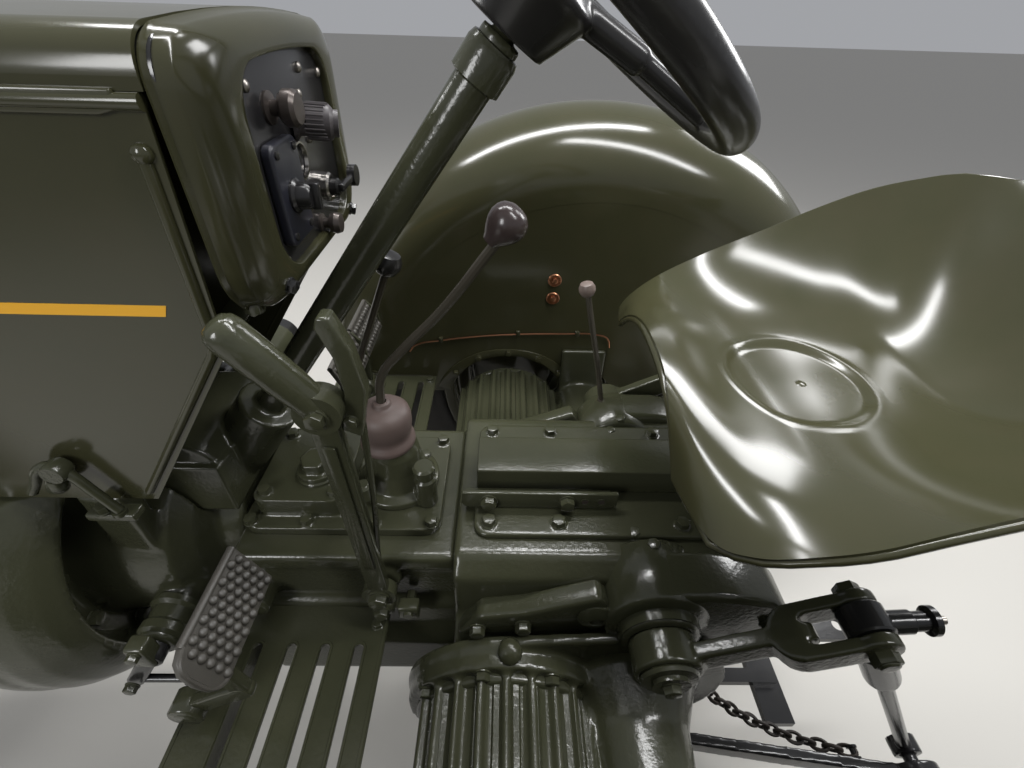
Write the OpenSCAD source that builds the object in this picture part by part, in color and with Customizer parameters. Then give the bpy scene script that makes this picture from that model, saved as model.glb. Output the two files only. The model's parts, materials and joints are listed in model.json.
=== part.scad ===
// Vintage farm tractor with a sprung pan seat, full clamshell fenders and a rear lift linkage
// It faces -X with its left side towards -Y; the source works in millimetres above the floor

/* [Stance] */
// Distance between the front and rear axles
wheelbase = 1700; // [1650:10:1800]
// Outer diameter of a rear tyre over its lugs
rear_tyre_d = 1130; // [1100:10:1150]
// Width of a rear tyre
rear_tyre_w = 240; // [210:5:250]
// Rim diameter that a rear tyre sits on
rear_rim_d = 620; // [580:10:640]
// Distance of a rear tyre's middle plane from the centre line
rear_track_half = 577; // [570:1:585]
// Outer diameter of a front tyre
front_tyre_d = 660; // [620:10:700]
// Width of a front tyre
front_tyre_w = 140; // [120:5:150]
// Rim diameter that a front tyre sits on
front_rim_d = 410; // [380:10:430]
// Distance of a front tyre's middle plane from the centre line
front_track_half = 600; // [590:5:620]

/* [Tyre tread] */
// Number of lugs in each of the two rows of a rear tyre
lug_count = 20; // [16:1:22]
// Height of a lug above the tyre's casing
lug_h = 28; // [20:1:32]
// Width of a lug across its tip
lug_w = 34; // [28:1:40]

/* [Hood] */
// Half of the hood's width over its side panels
hood_half_w = 150; // [146:1:158]
// Height of the hood's crown
hood_top_z = 1312; // [1300:1:1330]
// Height of the hinge bead along each side
bead_z = 1268; // [1264:1:1272]
// Height of the side panels' lower edge
side_low_z = 905; // [900:1:930]
// Thickness of the sheet panels
sheet_t = 3; // [2:0.5:4]
// Height where the rear edge of a side panel turns forward
kink_z = 1093; // [1080:1:1110]
// Radius of the shallow arch in the hood's top
hood_arch_r = 1450; // [1200:10:1600]
// Distance of the nose's front face from the front axle
nose_overhang = 96; // [80:1:120]
// Height of the nose's lower edge
nose_low_z = 640; // [636:1:680]
// Radius of the hood's edges between its arch and its sides
hood_edge_r = 26; // [20:1:34]
// Radius of the nose's front corners
nose_round = 60; // [48:2:70]
// Number of upright bars in the grille
grille_bars = 13; // [9:2:17]

/* [Transmission] */
// Radius of the clutch housing's bell
bell_r = 248; // [240:1:252]
// Height of the clutch housing's centre
bell_z = 720; // [716:1:724]
// Half of the gearbox's width at its top flange
box_half_w = 122; // [112:1:130]
// Height of the gearbox's top face
box_top_z = 752; // [745:1:758]
// Half of the rear case's width
case_half_w = 186; // [176:1:196]
// Height of the flat on top of the rear case
case_top_z = 772; // [766:1:776]
// Radius of a brake housing over its ribs
brake_r = 126; // [118:1:130]
// Radius of an axle trumpet where it leaves the case
trumpet_r = 72; // [64:1:76]

/* [Fenders] */
// Distance of a fender's inner wall from the centre line
fender_wall_y = 430; // [426:1:434]
// Distance of a fender's outer lip from the centre line
fender_lip_y = 712; // [704:1:722]
// Radius of the crease where the inner wall turns into the crown
fender_crease_r = 488; // [480:1:494]
// Radius of the fender's crown
fender_crown_r = 615; // [610:1:625]
// Angle of the fender's rear edge above the level of the axle
fender_rear_a = 8; // [6:1:20]
// Angle of the fender's front edge, counted over the top from the rear
fender_front_a = 172; // [165:1:174]

/* [Controls] */
// Slope of the steering column from level
column_a = 53; // [52:0.5:54]
// Radius of the steering column's tube
column_r = 18; // [16:0.5:20]
// Radius of the steering wheel to the middle of its rim
wheel_rim_r = 186; // [178:1:192]
// Radius of the steering wheel's rim section
wheel_grip_r = 15; // [13:0.5:16]
// Radius of the main gear lever's rod
lever_r = 6; // [5:0.5:8]

/* [Seat] */
// Thickness of the seat pan
seat_t = 4; // [3:0.5:6]
// Number of strips along the seat pan
seat_rows = 18; // [12:1:20]
// Number of strips across the seat pan
seat_cols = 16; // [12:2:20]

/* [Lift linkage] */
// Distance from the rockshaft to the pin of a lift arm
lift_arm_len = 212; // [206:1:218]
// Distance from a lower link's front pin to its lift rod
link_rod_x = 455; // [450:1:460]
// Distance from a lower link's front pin to its rear eye
link_len = 690; // [670:5:710]
// Radius of the hole in a lower link's rear eye
link_eye_r = 11.1; // [9.5:0.1:14.5]

/* [Hidden] */
$fn = 64;
// Height of the rear axle for which the body's heights are given
std_axle_z = 565;
// Running clearance of a shaft in its hole
fit = 0.05;
// Gap between pieces that move apart
gap = 0.3;

// How far the ends reach from the rear axle
link_eye_out_r = 26;
rear_reach = link_len + link_eye_out_r;
front_reach = wheelbase + front_tyre_d / 2;
rear_axle_x = (front_reach - rear_reach) / 2;
body_rise = rear_tyre_d / 2 - std_axle_z;
front_x = -wheelbase;

// Stations along the machine, from the rear axle
gap_x = -389;
dash_x = gap_x + 17;
cowl_rear_x = gap_x + 29;
cowl_round = 44;
leg_foot_z = 880;
nose_x = front_x - nose_overhang;
hood_front_x = nose_x + 296;
bead_r = 5;
radiator_x = nose_x + 176;
lamp_x = nose_x + 236;
radiator_half_w = hood_half_w - 12;
grille_w = hood_half_w - 42;
engine_front_x = hood_front_x + 130;
bell_front_x = -770;
bell_rear_x = -562;
box_front_x = -540;
case_x = -240;
case_rear_x = 132;

// Exhaust stack
stack_x = engine_front_x + 190;
stack_y = hood_half_w - 31;
stack_r = 20;

// Steering column and wheel
wheel_x = -147;
wheel_z = 1349;
wheel_hub_low = 61;
wheel_shaft_r = 10;
column_len = 640;
box_z = 850;
box_x = -575;
pitman_len = 200;
pitman_y = 246;
pitman_shaft_r = 16;
drag_r = 11;
arm_top_len = 110;

// Front axle
king_y = 470;
king_r = 18;
sleeve_r = 31;
sleeve_z0 = 424;
sleeve_z1 = 540;
spindle_r = 20;
tie_arm_len = 150;
tie_z = 392;
tie_pin_r = 9;
drag_y0 = pitman_y + 28;
drag_y1 = king_y - arm_top_len;
drag_z1 = 596;
pivot_z = 470;
pivot_r = 24;

// Rear axle line, final drives and brakes
brake_x = -170;
brake_z = 548;
brake_end_y = 424;
drive_y = 200;
trumpet_end_y = 486;
axle_r = 34;

// Pedals, footplates and the hand lever's pin
pedal_x = -535;
pedal_z = 672;
brake_shaft_x = -470;
pedal_slope = 66.6;
pad_len = 66;
pad_w = 115;
pad_z = 811;
plate_z = 632;
clutch_shaft_x = -600;
clutch_shaft_z = 690;
hand_x = -338;
hand_z = 706;
hand_boss_y = 128;

// Bends of the main gear lever
lever_foot = [-336, 0, box_top_z + 138];
lever_bend = [-333, 0, box_top_z + 196];
lever_kink = [-298, 0, box_top_z + 246];
lever_top = [-190, 0, 1128];

// Lift linkage
rock_x = 15;
rock_z = 720;
rock_half_y = 208;
rock_r = 24;
arm_y = 232;
arm_a = 27.8;
link_z = 400;
link_front_y = 205;
link_rear_y = 300;
link_pin_r = 14;
rod_pin_r = 11;
pin_x = rock_x + lift_arm_len * cos(arm_a);
pin_z = rock_z + lift_arm_len * sin(arm_a);
rod_low_z = 424;
hitch_x = 520;
rod_low_y = arm_y;

// Lift cover and the seat's arm
arm_low_z = 781;
arm_top_z = 823;
arm_half_w = 33;
seat_x = 187;

// Seat pan: rows of [station, half width, height at the centre, height at the rim]
seat_floor_z = 955;
seat_front_x = -6;
seat_len = 474;
seat_table = [
    [0, 150, 1009, 950],
    [12, 208, 1003, 940],
    [36, 238, 992, 950],
    [78, 256, 972, 974],
    [135, 264, 958, 1004],
    [145, 264, seat_floor_z, 1010],
    [240, 264, seat_floor_z, 1058],
    [300, 262, seat_floor_z + 3, 1090],
    [360, 254, 968, 1120],
    [410, 236, 1008, 1140],
    [446, 204, 1070, 1156],
    [474, 140, 1134, 1162]
];

// Colours as the machine shows them
olive = [0.17, 0.19, 0.12];
dark_olive = [0.14, 0.15, 0.10];
black = [0.05, 0.05, 0.05];
tyre_black = [0.08, 0.08, 0.08];

// Places what the chassis carries, with its origin on the floor below the rear axle
module chassis() {
    translate([rear_axle_x, 0, body_rise]) children();
}

// Places what stands on the floor, unmoved by the rear tyres' size
module on_floor() {
    translate([rear_axle_x, 0, 0]) children();
}

// Draws for the left side, or mirrored for the right side
module on_side(side) {
    mirror([0, side > 0 ? 1 : 0, 0]) children();
}

// Draws on both sides
module both_sides() {
    on_side(-1) children();
    on_side(1) children();
}

// Extrudes an outline in Y and Z from x0 to x1
module along_x(x0, x1) {
    translate([x0, 0, 0]) rotate([90, 0, 90]) linear_extrude(x1 - x0) children();
}

// Extrudes an outline in X and Z from y0 to y1
module along_y(y0, y1) {
    translate([0, y1, 0]) rotate([90, 0, 0]) linear_extrude(y1 - y0) children();
}

// Extrudes an outline in X and Y from z0 to z1
module along_z(z0, z1) {
    translate([0, 0, z0]) linear_extrude(z1 - z0) children();
}

module cyl_x(y, z, x0, x1, r) {
    translate([x0, y, z]) rotate([0, 90, 0]) cylinder(r = r, h = x1 - x0);
}

module cyl_y(x, z, y0, y1, r) {
    translate([x, y1, z]) rotate([90, 0, 0]) cylinder(r = r, h = y1 - y0);
}

module cyl_z(x, y, z0, z1, r) {
    translate([x, y, z0]) cylinder(r = r, h = z1 - z0);
}

// Round bar between two points
module rod(p, q, r) {
    d = q - p;
    len = norm(d);
    translate(p)
        rotate([0, acos(d[2] / len), atan2(d[1], d[0])])
            cylinder(r = r, h = len);
}

// Box from its low to its high corner
module block(a, b) {
    translate(a) cube(b - a);
}

// Flat bar between two points, w wide along X and t thick along Y
module bar(p, q, w, t) {
    d = q - p;
    len = norm(d);
    translate(p)
        rotate([atan2(-d[1], d[2]), 0, 0]) rotate([0, asin(d[0] / len), 0])
            translate([-w / 2, -t / 2, 0]) cube([w, t, len]);
}

// Outline of a rectangle from one corner to the other, with round corners
module round_rect(a, b, r) {
    translate([a[0] + r, a[1]]) square([b[0] - a[0] - 2 * r, b[1] - a[1]]);
    translate([a[0], a[1] + r]) square([b[0] - a[0], b[1] - a[1] - 2 * r]);
    for (x = [a[0] + r, b[0] - r], y = [a[1] + r, b[1] - r])
        translate([x, y]) circle(r = r);
}

// Outline of a slot or bar with round ends between two points
module bar_outline(p, q, r) {
    d = q - p;
    translate(p) circle(r = r);
    translate(q) circle(r = r);
    translate(p) rotate(atan2(d[1], d[0])) translate([0, -r]) square([norm(d), 2 * r]);
}

// Points of an arc
function arc(c, r, a0, a1, n) =
    [for (i = [0:n]) c + r * [cos(a0 + (a1 - a0) * i / n), sin(a0 + (a1 - a0) * i / n)]];

// Value at x in a table of rows [x, a, b, ...], taken from the given column
function look(table, x, col) =
    x <= table[0][0] ? table[0][col] :
    x >= table[len(table) - 1][0] ? table[len(table) - 1][col] :
    lookup(x, [for (row = table) [row[0], row[col]]]);

// Hexagonal bolt heads on a circle in an X-Z plane, standing towards -Y
module bolts_z(points, z, head_r = 9, head_h = 7) {
    for (p = points)
        translate([p[0], p[1], z]) cylinder(r = head_r, h = head_h, $fn = 6);
}

// Engine: crankcase, head and sump as one block, with its side fittings

module engine_outline() {
    polygon([
        [-92, 432], [92, 432], [112, 470], [112, 540], [152, 585], [152, 700], [128, 730],
        [128, 905], [-128, 905], [-128, 730], [-152, 700], [-152, 585], [-112, 540], [-112, 470]
    ]);
}

module engine_block() {
    color(dark_olive) chassis() {
        along_x(engine_front_x, bell_front_x) engine_outline();
        along_x(engine_front_x + 20, bell_front_x - 30) round_rect([-98, 904], [98, 1000], 12);
        along_x(engine_front_x + 50, bell_front_x - 60) round_rect([-62, 999], [62, 1075], 26);
        along_x(engine_front_x + 6, bell_front_x - 6) round_rect([-126, 534], [126, 548], 4);
        for (i = [0:2])
            cyl_y(engine_front_x + 120 + i * 180, 640, -164, -140, 44);
        cyl_y(engine_front_x + 210, 820, -150, -120, 46);
        cyl_y(engine_front_x + 390, 820, -150, -120, 46);
        cyl_x(178, 640, bell_front_x - 250, bell_front_x, 48);
        cyl_x(178, 640, bell_front_x - 286, bell_front_x - 249, 34);
        cyl_z(engine_front_x + 150, 190, 640, 800, 42);
        block([engine_front_x + 120, 150, 690], [engine_front_x + 180, 170, 770]);
        cyl_x(0, 560, engine_front_x - 34, engine_front_x, 70);
        cyl_x(0, 905, engine_front_x - 60, engine_front_x, 52);
    }
}

// Transmission: clutch housing, gearbox and rear case in line

module bell_body() {
    translate([0, 0, bell_z]) rotate([0, 90, 0]) rotate_extrude() polygon([
        [0, bell_front_x], [bell_r, bell_front_x], [bell_r, -722], [bell_r - 9, -700], [222, -679],
        [204, -664], [196, -666], [191, -690], [184, -712], [158, -712], [150, -640],
        [142, -592], [118, -573], [88, bell_rear_x], [80, box_front_x + 10], [0, box_front_x + 10]
    ]);
}

module clutch_housing() {
    color(olive) chassis() {
        difference() {
            union() {
                difference() {
                    bell_body();
                    block([box_x - 72, -78, box_z - 62], [box_front_x + 11, 78, bell_z + bell_r + 1]);
                }
                cyl_y(box_x, box_z, 79, 236, 36);
                cyl_x(0, bell_z, bell_front_x, bell_front_x + 22, bell_r + 3);
                cyl_y(clutch_shaft_x, clutch_shaft_z, -205, -120, 24);
                both_sides() block([-650, -132, 780], [-600, -104, leg_foot_z]);
            }
            cyl_y(box_x, box_z, 150, 237, pitman_shaft_r + fit);
            block([bell_front_x - 1, -bell_r - 9, side_low_z - 8],
                  [box_front_x + 11, bell_r + 9, bell_z + bell_r + 9]);
            block([bell_front_x - 1, -bell_r - 9, bell_z - bell_r - 9],
                  [box_front_x + 11, bell_r + 9, 500]);
        }
    }
}

module gearbox() {
    w = box_half_w;
    color(olive) chassis() {
        along_x(box_front_x + 10 + gap / 3, case_x) polygon([
            [-w, box_top_z], [-w, box_top_z - 26], [-w + 10, box_top_z - 40], [-w + 10, plate_z + 14],
            [-w - 2, plate_z + 2], [-w - 2, 590], [-w - 20, 560], [-w - 20, 470], [-w + 20, 430],
            [w - 20, 430], [w + 20, 470], [w + 20, 560], [w + 2, 590], [w + 2, plate_z + 2],
            [w - 10, plate_z + 14], [w - 10, box_top_z - 40], [w, box_top_z - 26], [w, box_top_z]
        ]);
        cyl_y(hand_x, hand_z, -hand_boss_y, -box_half_w + 20, 24);
        cyl_y(pedal_x + 26, pedal_z, -150, -box_half_w + 20, 20);
        cyl_y(brake_shaft_x, pedal_z, box_half_w - 20, 150, 20);
    }
}

module rear_case() {
    w = case_half_w;
    color(olive) chassis() difference() {
        union() {
            along_x(case_x, case_rear_x) polygon([
                [-w + 60, case_top_z], [-w + 36, case_top_z - 22], [-w + 30, 680], [-w, 650], [-w, 470],
                [-w + 40, 405], [w - 40, 405], [w, 470], [w, 650], [w - 30, 680],
                [w - 36, case_top_z - 22], [w - 60, case_top_z]
            ]);
            cyl_y(rock_x, rock_z, -rock_half_y, rock_half_y, 48);
            cyl_x(0, 600, case_rear_x - 1, case_rear_x + 18, 100);
            cyl_x(0, 600, case_rear_x, case_rear_x + 34, 46);
            cyl_x(0, 600, case_rear_x, case_rear_x + 110, 17.46);
            both_sides() {
                block([case_rear_x - 2, -46, 640], [case_rear_x + 78, -26, 690]);
                cyl_y(0, link_z, -link_front_y - 18, -w + 20, link_pin_r);
                block([-40, -w + 1, link_z - 24], [40, -w + 60, 500]);
            }
        }
        cyl_y(case_rear_x + 56, 665, -60, 60, 9.6);
        cyl_y(rock_x, rock_z, -rock_half_y - 1, rock_half_y + 1, rock_r + fit);
    }
}

module gearbox_cover() {
    color(olive) chassis() {
        along_z(box_top_z, box_top_z + 14) round_rect([-526, -88], [-262, 88], 22);
        along_z(box_top_z + 13, box_top_z + 46) round_rect([-512, -68], [-392, 68], 16);
        bolts_z([for (x = [-514, -440, -352, -274], y = [-77, 77]) [x, y]], box_top_z + 13.9);
        cyl_z(-435, -18, box_top_z + 45, box_top_z + 60, 27);
        translate([-435, -18, box_top_z + 59]) cylinder(r = 21, h = 18, $fn = 6);
        bolts_z([[-496, 54], [-496, -54], [-404, -54]], box_top_z + 45.9);
    }
}

module shift_tower() {
    z = box_top_z + 14;
    color(olive) chassis() {
        translate([-330, 0, z]) rotate_extrude()
            polygon([[0, 0], [58, 0], [58, 10], [46, 16], [38, 40], [34, 66], [28, 80], [0, 80]]);
        bolts_z([for (a = [45:90:315]) [-330 + 49 * cos(a), 49 * sin(a)]], z + 12, 8, 7);
        cyl_z(-284, -38, z, z + 44, 15);
        cyl_z(-284, -38, z + 43, z + 50, 10);
    }
}

module shift_boot() {
    color([0.34, 0.27, 0.25]) chassis() difference() {
        translate([lever_foot[0], 0, box_top_z + 94.3]) rotate_extrude()
            polygon([[0, 0], [33, 0], [34, 8], [30, 20], [31, 44], [27, 62], [15, 76], [0, 78]]);
        lever_rods(gap);
    }
}

// Gear levers: the main one in its boot, the range lever and the lift's lever
module lever_rods(extra) {
    r = lever_r + extra;
    rod(lever_foot, lever_bend, r);
    rod(lever_bend, lever_kink, r);
    rod(lever_kink, lever_top, r);
    for (p = [lever_foot, lever_bend, lever_kink])
        translate(p) sphere(r = r, $fn = 24);
    rod([-6, 172, rock_z + 44], [-56, 172, 982], 5 + extra);
    rod([-424, 48, box_top_z + 49 + gap], [-320, 48, 1068], 5 + extra);
}

module gear_levers() {
    color([0.25, 0.24, 0.2]) chassis() {
        lever_rods(0);
        translate([-6, 172, rock_z + 47.5]) cylinder(r = 11, h = 14);
        cyl_z(-424, 48, box_top_z + 46, box_top_z + 58, 9);
    }
}

module lever_knobs() {
    color([0.3, 0.24, 0.2]) chassis() difference() {
        union() {
            translate([-185, 0, 1142]) rotate([0, 42, 0]) rotate_extrude()
                polygon(concat([[0, -16], [9, -16]], arc([0, 6], 21, -36, 90, 8)));
            translate([-58.5, 172, 990]) sphere(r = 12, $fn = 32);
            translate([-315, 48, 1082]) sphere(r = 16, $fn = 32);
        }
        lever_rods(0.1);
    }
}

// Hand lever with a forked grip and its trigger, pinned to the gearbox's side
module hand_lever() {
    foot = [hand_x, -140, hand_z];
    fork = [-316, -200, 1078];
    color(dark_olive) chassis() {
        cyl_y(hand_x, hand_z, -158, -hand_boss_y - gap, 17);
        bar(foot, fork, 26, 12);
        cyl_y(fork[0], fork[2], -210, -190, 18);
        rod(fork, [-362, -208, 1152], 13);
        translate([-362, -208, 1152]) sphere(r = 15, $fn = 32);
        bar(fork + [8, 14, -10], [-290, -186, 1150], 16, 7);
    }
}

// Final drive: a brake housing ahead of the axle trumpet on each side

module final_drive() {
    difference() {
        union() {
            along_y(-drive_y, -case_half_w) bar_outline([brake_x, brake_z], [0, std_axle_z], 138);
            cyl_y(brake_x, brake_z, -drive_y - 24, -drive_y + 1, brake_r + 8);
            cyl_y(brake_x, brake_z, -brake_end_y, -drive_y, brake_r - 12);
            for (a = [30:15:150])
                translate([brake_x, -brake_end_y + 14, brake_z]) rotate([0, 90 - a, 0])
                    translate([-5, 0, brake_r - 20]) cube([10, brake_end_y - drive_y - 30, 20]);
            cyl_y(brake_x, brake_z, -brake_end_y - 10, -brake_end_y + 1, 60);
            translate([0, -drive_y - 60, std_axle_z]) rotate([-90, 0, 0])
                cylinder(r1 = trumpet_r, r2 = trumpet_r + 26, h = 61);
            translate([0, -trumpet_end_y + 40, std_axle_z]) rotate([-90, 0, 0])
                cylinder(r1 = trumpet_r - 14, r2 = trumpet_r, h = trumpet_end_y - drive_y - 99);
            cyl_y(0, std_axle_z, -trumpet_end_y, -trumpet_end_y + 41, trumpet_r + 4);
            block([-50, -fender_wall_y + gap / 3, std_axle_z + 40],
                  [50, -fender_wall_y + 14, std_axle_z + 150]);
        }
        cyl_y(0, std_axle_z, -trumpet_end_y - 1, -trumpet_end_y + 90, axle_r + fit);
        cyl_y(rock_x, rock_z, -400, 0, 48 + gap);
    }
}

module final_drives() {
    color(olive) chassis() both_sides() final_drive();
}

// Lift cover on top of the rear case, which carries the seat's arm

module lift_housing() {
    color(olive) chassis() {
        along_z(case_top_z, arm_low_z - gap / 3) round_rect([-216, -104], [case_rear_x, 104], 20);
        bolts_z([for (x = [-196, -104, 60, 116], y = [-86, 86]) [x, y]], arm_low_z - gap / 3 - 0.1);
    }
}

// Seat arm: a channel that rises to the rear and carries the pan on a short spring
module seat_arm() {
    w = arm_half_w;
    color(olive) chassis() {
        along_x(-214, 120) difference() {
            translate([-w, arm_low_z]) square([2 * w, arm_top_z - arm_low_z]);
            translate([-w + 6, arm_low_z - 1]) square([2 * w - 12, arm_top_z - arm_low_z - 5]);
        }
        for (x = [-206, 60])
            block([x, -w + 5, arm_low_z], [x + 24, w - 5, arm_low_z + 8]);
        bar([96, 0, arm_top_z - 6], [seat_x, 0, seat_floor_z - 34], 66, 14);
        cyl_z(seat_x, 0, seat_floor_z - 46, seat_floor_z - seat_t - gap, 46);
    }
}

function seat_point(i, j, drop) =
    let (s = seat_len * i / seat_rows)
    let (t = 2 * j / seat_cols - 1)
    let (mid = look(seat_table, s, 2))
    let (rim = look(seat_table, s, 3))
    [seat_front_x + s, t * look(seat_table, s, 1), mid + (rim - mid) * pow(abs(t), 2.6) - drop];

function seat_index(i, j, layer) = layer * (seat_rows + 1) * (seat_cols + 1) + i * (seat_cols + 1) + j;

module seat_shell() {
    points = [for (layer = [0, 1], i = [0:seat_rows], j = [0:seat_cols]) seat_point(i, j, layer * seat_t)];
    tops = [
        for (i = [0:seat_rows - 1], j = [0:seat_cols - 1])
            let (a = seat_index(i, j, 0), b = seat_index(i + 1, j, 0))
                each [[a, a + 1, b], [b, a + 1, b + 1]]
    ];
    floors = [
        for (i = [0:seat_rows - 1], j = [0:seat_cols - 1])
            let (a = seat_index(i, j, 1), b = seat_index(i + 1, j, 1))
                each [[a, b, a + 1], [b, b + 1, a + 1]]
    ];
    sides = [
        for (i = [0:seat_rows - 1], j = [0, seat_cols])
            let (a = seat_index(i, j, 0), b = seat_index(i + 1, j, 0))
                let (c = seat_index(i, j, 1), d = seat_index(i + 1, j, 1))
                    each j == 0 ? [[a, b, c], [b, d, c]] : [[a, c, b], [b, c, d]]
    ];
    ends = [
        for (j = [0:seat_cols - 1], i = [0, seat_rows])
            let (a = seat_index(i, j, 0), b = seat_index(i, j + 1, 0))
                let (c = seat_index(i, j, 1), d = seat_index(i, j + 1, 1))
                    each i == 0 ? [[a, c, b], [b, c, d]] : [[a, b, c], [b, d, c]]
    ];
    polyhedron(points = points, faces = concat(tops, floors, sides, ends));
}

module seat_pan() {
    color(olive) chassis() seat_shell();
}

// Fender: a flat inner wall with arches, an arched crown and an outer skirt

module fender_section() {
    t = sheet_t;
    mid_y = (fender_wall_y + fender_lip_y) / 2 + 10;
    in_w = mid_y - fender_wall_y;
    out_w = (fender_lip_y - mid_y) / sin(66);
    rise = fender_crown_r - fender_crease_r;
    r0 = fender_crease_r + body_rise;
    polygon(concat(
        [[r0 - 40, fender_wall_y + t], [r0 - 40, fender_wall_y]],
        [for (a = [0:9:90]) [r0 + rise * sin(a), mid_y - in_w * cos(a)]],
        [for (a = [11:11:66]) [r0 + rise * cos(a), mid_y + out_w * sin(a)]],
        [for (a = [66:-11:11]) [r0 + (rise - t) * cos(a), mid_y + (out_w - t) * sin(a)]],
        [for (a = [90:-9:0]) [r0 + (rise - t) * sin(a), mid_y - (in_w - t) * cos(a)]]
    ));
}

module fender() {
    wall_low_z = std_axle_z + 21;
    difference() {
        union() {
            translate([0, 0, std_axle_z]) rotate([90, 0, 0]) rotate([0, 0, fender_rear_a])
                rotate_extrude(angle = fender_front_a - fender_rear_a, $fn = 240) fender_section();
            along_y(-fender_wall_y - sheet_t, -fender_wall_y) difference() {
                translate([0, std_axle_z]) circle(r = fender_crease_r + body_rise - 1, $fn = 240);
                translate([-800, 0]) square([1600, wall_low_z]);
            }
        }
        cyl_y(brake_x, brake_z, -fender_wall_y - 20, -fender_wall_y + 20, brake_r + 16);
        cyl_y(0, std_axle_z, -fender_wall_y - 20, -fender_wall_y + 20, trumpet_r + 14);
    }
}

module fenders() {
    color(olive) chassis() both_sides() fender();
}

// Slotted footplates beside the gearbox, each on two brackets

// Its notch, given as [rear end, outer side, inner side], lets the linkage through
module footplate(notch) {
    inner_y = -box_half_w - 2 - gap / 3;
    difference() {
        block([-562, -424, plate_z - 6], [-336, inner_y, plate_z]);
        for (i = [0:3])
            along_z(plate_z - 7, plate_z + 1) bar_outline([-504 + i * 45, -396], [-504 + i * 45, -182], 6.5);
        block([-563, notch[1], plate_z - 7], [notch[0], notch[2], plate_z + 1]);
    }
    for (x = [-524, -352])
        block([x, -400, plate_z - 40], [x + 8, inner_y, plate_z - 5]);
}

module footplates() {
    color(dark_olive) chassis() {
        on_side(-1) footplate([-528, -232, -192]);
        on_side(1) footplate([-478, -302, -226]);
    }
}

// Pedal pad with its long side across the machine
module pedal_pad(x, y) {
    translate([x, y, pad_z]) rotate([0, -pedal_slope, 0])
        translate([-pad_len / 2, -pad_w / 2, -12]) cube([pad_len, pad_w, 12]);
}

module clutch_pedal() {
    color(dark_olive) chassis() {
        pedal_pad(-463, -222);
        cyl_y(pedal_x, pedal_z, -276, -150 - gap / 3, 13);
        bar([pedal_x, -262, pedal_z], [-456, -262, 726], 24, 14);
        bar([-456, -262, 718], [-462, -262, 800], 22, 13);
        bar([pedal_x, -212, pedal_z], [pedal_x - 12, -212, 614], 20, 10);
        rod([pedal_x - 12, -212, 614], [-655, -212, 612], 5.5);
        bar([-655, -212, 610], [clutch_shaft_x, -212, clutch_shaft_z], 22, 12);
        cyl_y(clutch_shaft_x, clutch_shaft_z, -222, -205 - gap / 3, 15);
    }
}

module brake_pedals() {
    color(dark_olive) chassis() {
        for (y = [222, 342]) {
            pedal_pad(-452, y);
            bar([brake_shaft_x, y, pedal_z], [-460, y, 796], 24, 14);
            cyl_y(brake_shaft_x, pedal_z, y - 20, y + 12, 18);
        }
        cyl_y(brake_shaft_x, pedal_z, 150 + gap / 3, 366, 13);
    }
}

// Front support, axle beam and what they carry

module front_support() {
    color(olive) chassis() difference() {
        union() {
            along_y(-105, 105) polygon([
                [engine_front_x, 480], [engine_front_x, nose_low_z], [front_x - 60, nose_low_z],
                [front_x - 60, 500], [front_x + 60, 500]
            ]);
            along_x(front_x - 60, front_x + 60) polygon([[-60, 430], [60, 430], [90, 520], [-90, 520]]);
            along_z(nose_low_z - 14, nose_low_z) intersection() {
                nose_plan(0);
                translate([nose_x - 10, -300]) square([hood_front_x - nose_x + 10, 600]);
            }
        }
        block([front_x - 44, -120, 400], [front_x + 44, 120, 524]);
        block([front_x + 100, -76, 400], [engine_front_x + 1, 76, 700]);
        cyl_x(0, pivot_z, front_x - 61, front_x + 61, pivot_r - 2);
    }
}

module radiator() {
    x0 = radiator_x;
    w = radiator_half_w;
    color(black) chassis() {
        block([x0, -w, nose_low_z], [x0 + 60, w, 1220]);
        along_x(x0 - 6, x0 + 68) round_rect([-w - 3, 1210], [w + 3, 1262], 10);
        cyl_x(0, 1230, x0 + 67, x0 + 120, 20);
    }
}

module front_axle() {
    color(olive) chassis() {
        difference() {
            union() {
                along_x(front_x - 38, front_x + 38) polygon([
                    [-king_y + 20, 450], [-80, 426], [80, 426], [king_y - 20, 450],
                    [king_y - 20, 508], [80, 516], [-80, 516], [-king_y + 20, 508]
                ]);
                both_sides() cyl_z(front_x, -king_y, sleeve_z0, sleeve_z1, sleeve_r);
            }
            both_sides() cyl_z(front_x, -king_y, sleeve_z0 - 1, sleeve_z1 + 1, king_r + fit);
        }
        cyl_x(0, pivot_z, front_x - 72, front_x + 72, pivot_r - 2);
    }
}

// Hood: an arched top sheet over hinged side panels

module hood_outline(inset) {
    w = hood_half_w - inset;
    r = hood_edge_r - inset;
    arch_r = hood_arch_r - inset;
    edge_y = w - r;
    arch_z = hood_top_z - hood_arch_r;
    edge_z = arch_z + sqrt(pow(arch_r - r, 2) - pow(edge_y, 2));
    meet_y = edge_y * arch_r / (arch_r - r);
    intersection() {
        translate([0, arch_z]) circle(r = arch_r, $fn = 256);
        translate([-meet_y, 0]) square([2 * meet_y, hood_top_z + 10]);
    }
    translate([-w, 0]) square([2 * w, edge_z]);
    for (s = [-1, 1])
        translate([s * edge_y, edge_z]) circle(r = r);
}

module hood_top() {
    lip_z = bead_z + bead_r + gap;
    color(olive) chassis() difference() {
        along_x(hood_front_x + 1 + gap, gap_x) difference() {
            hood_outline(0);
            hood_outline(sheet_t);
            translate([-400, 0]) square([800, lip_z]);
        }
        cyl_z(stack_x, stack_y, hood_top_z - 60, hood_top_z + 10, stack_r + 3);
    }
}

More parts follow.
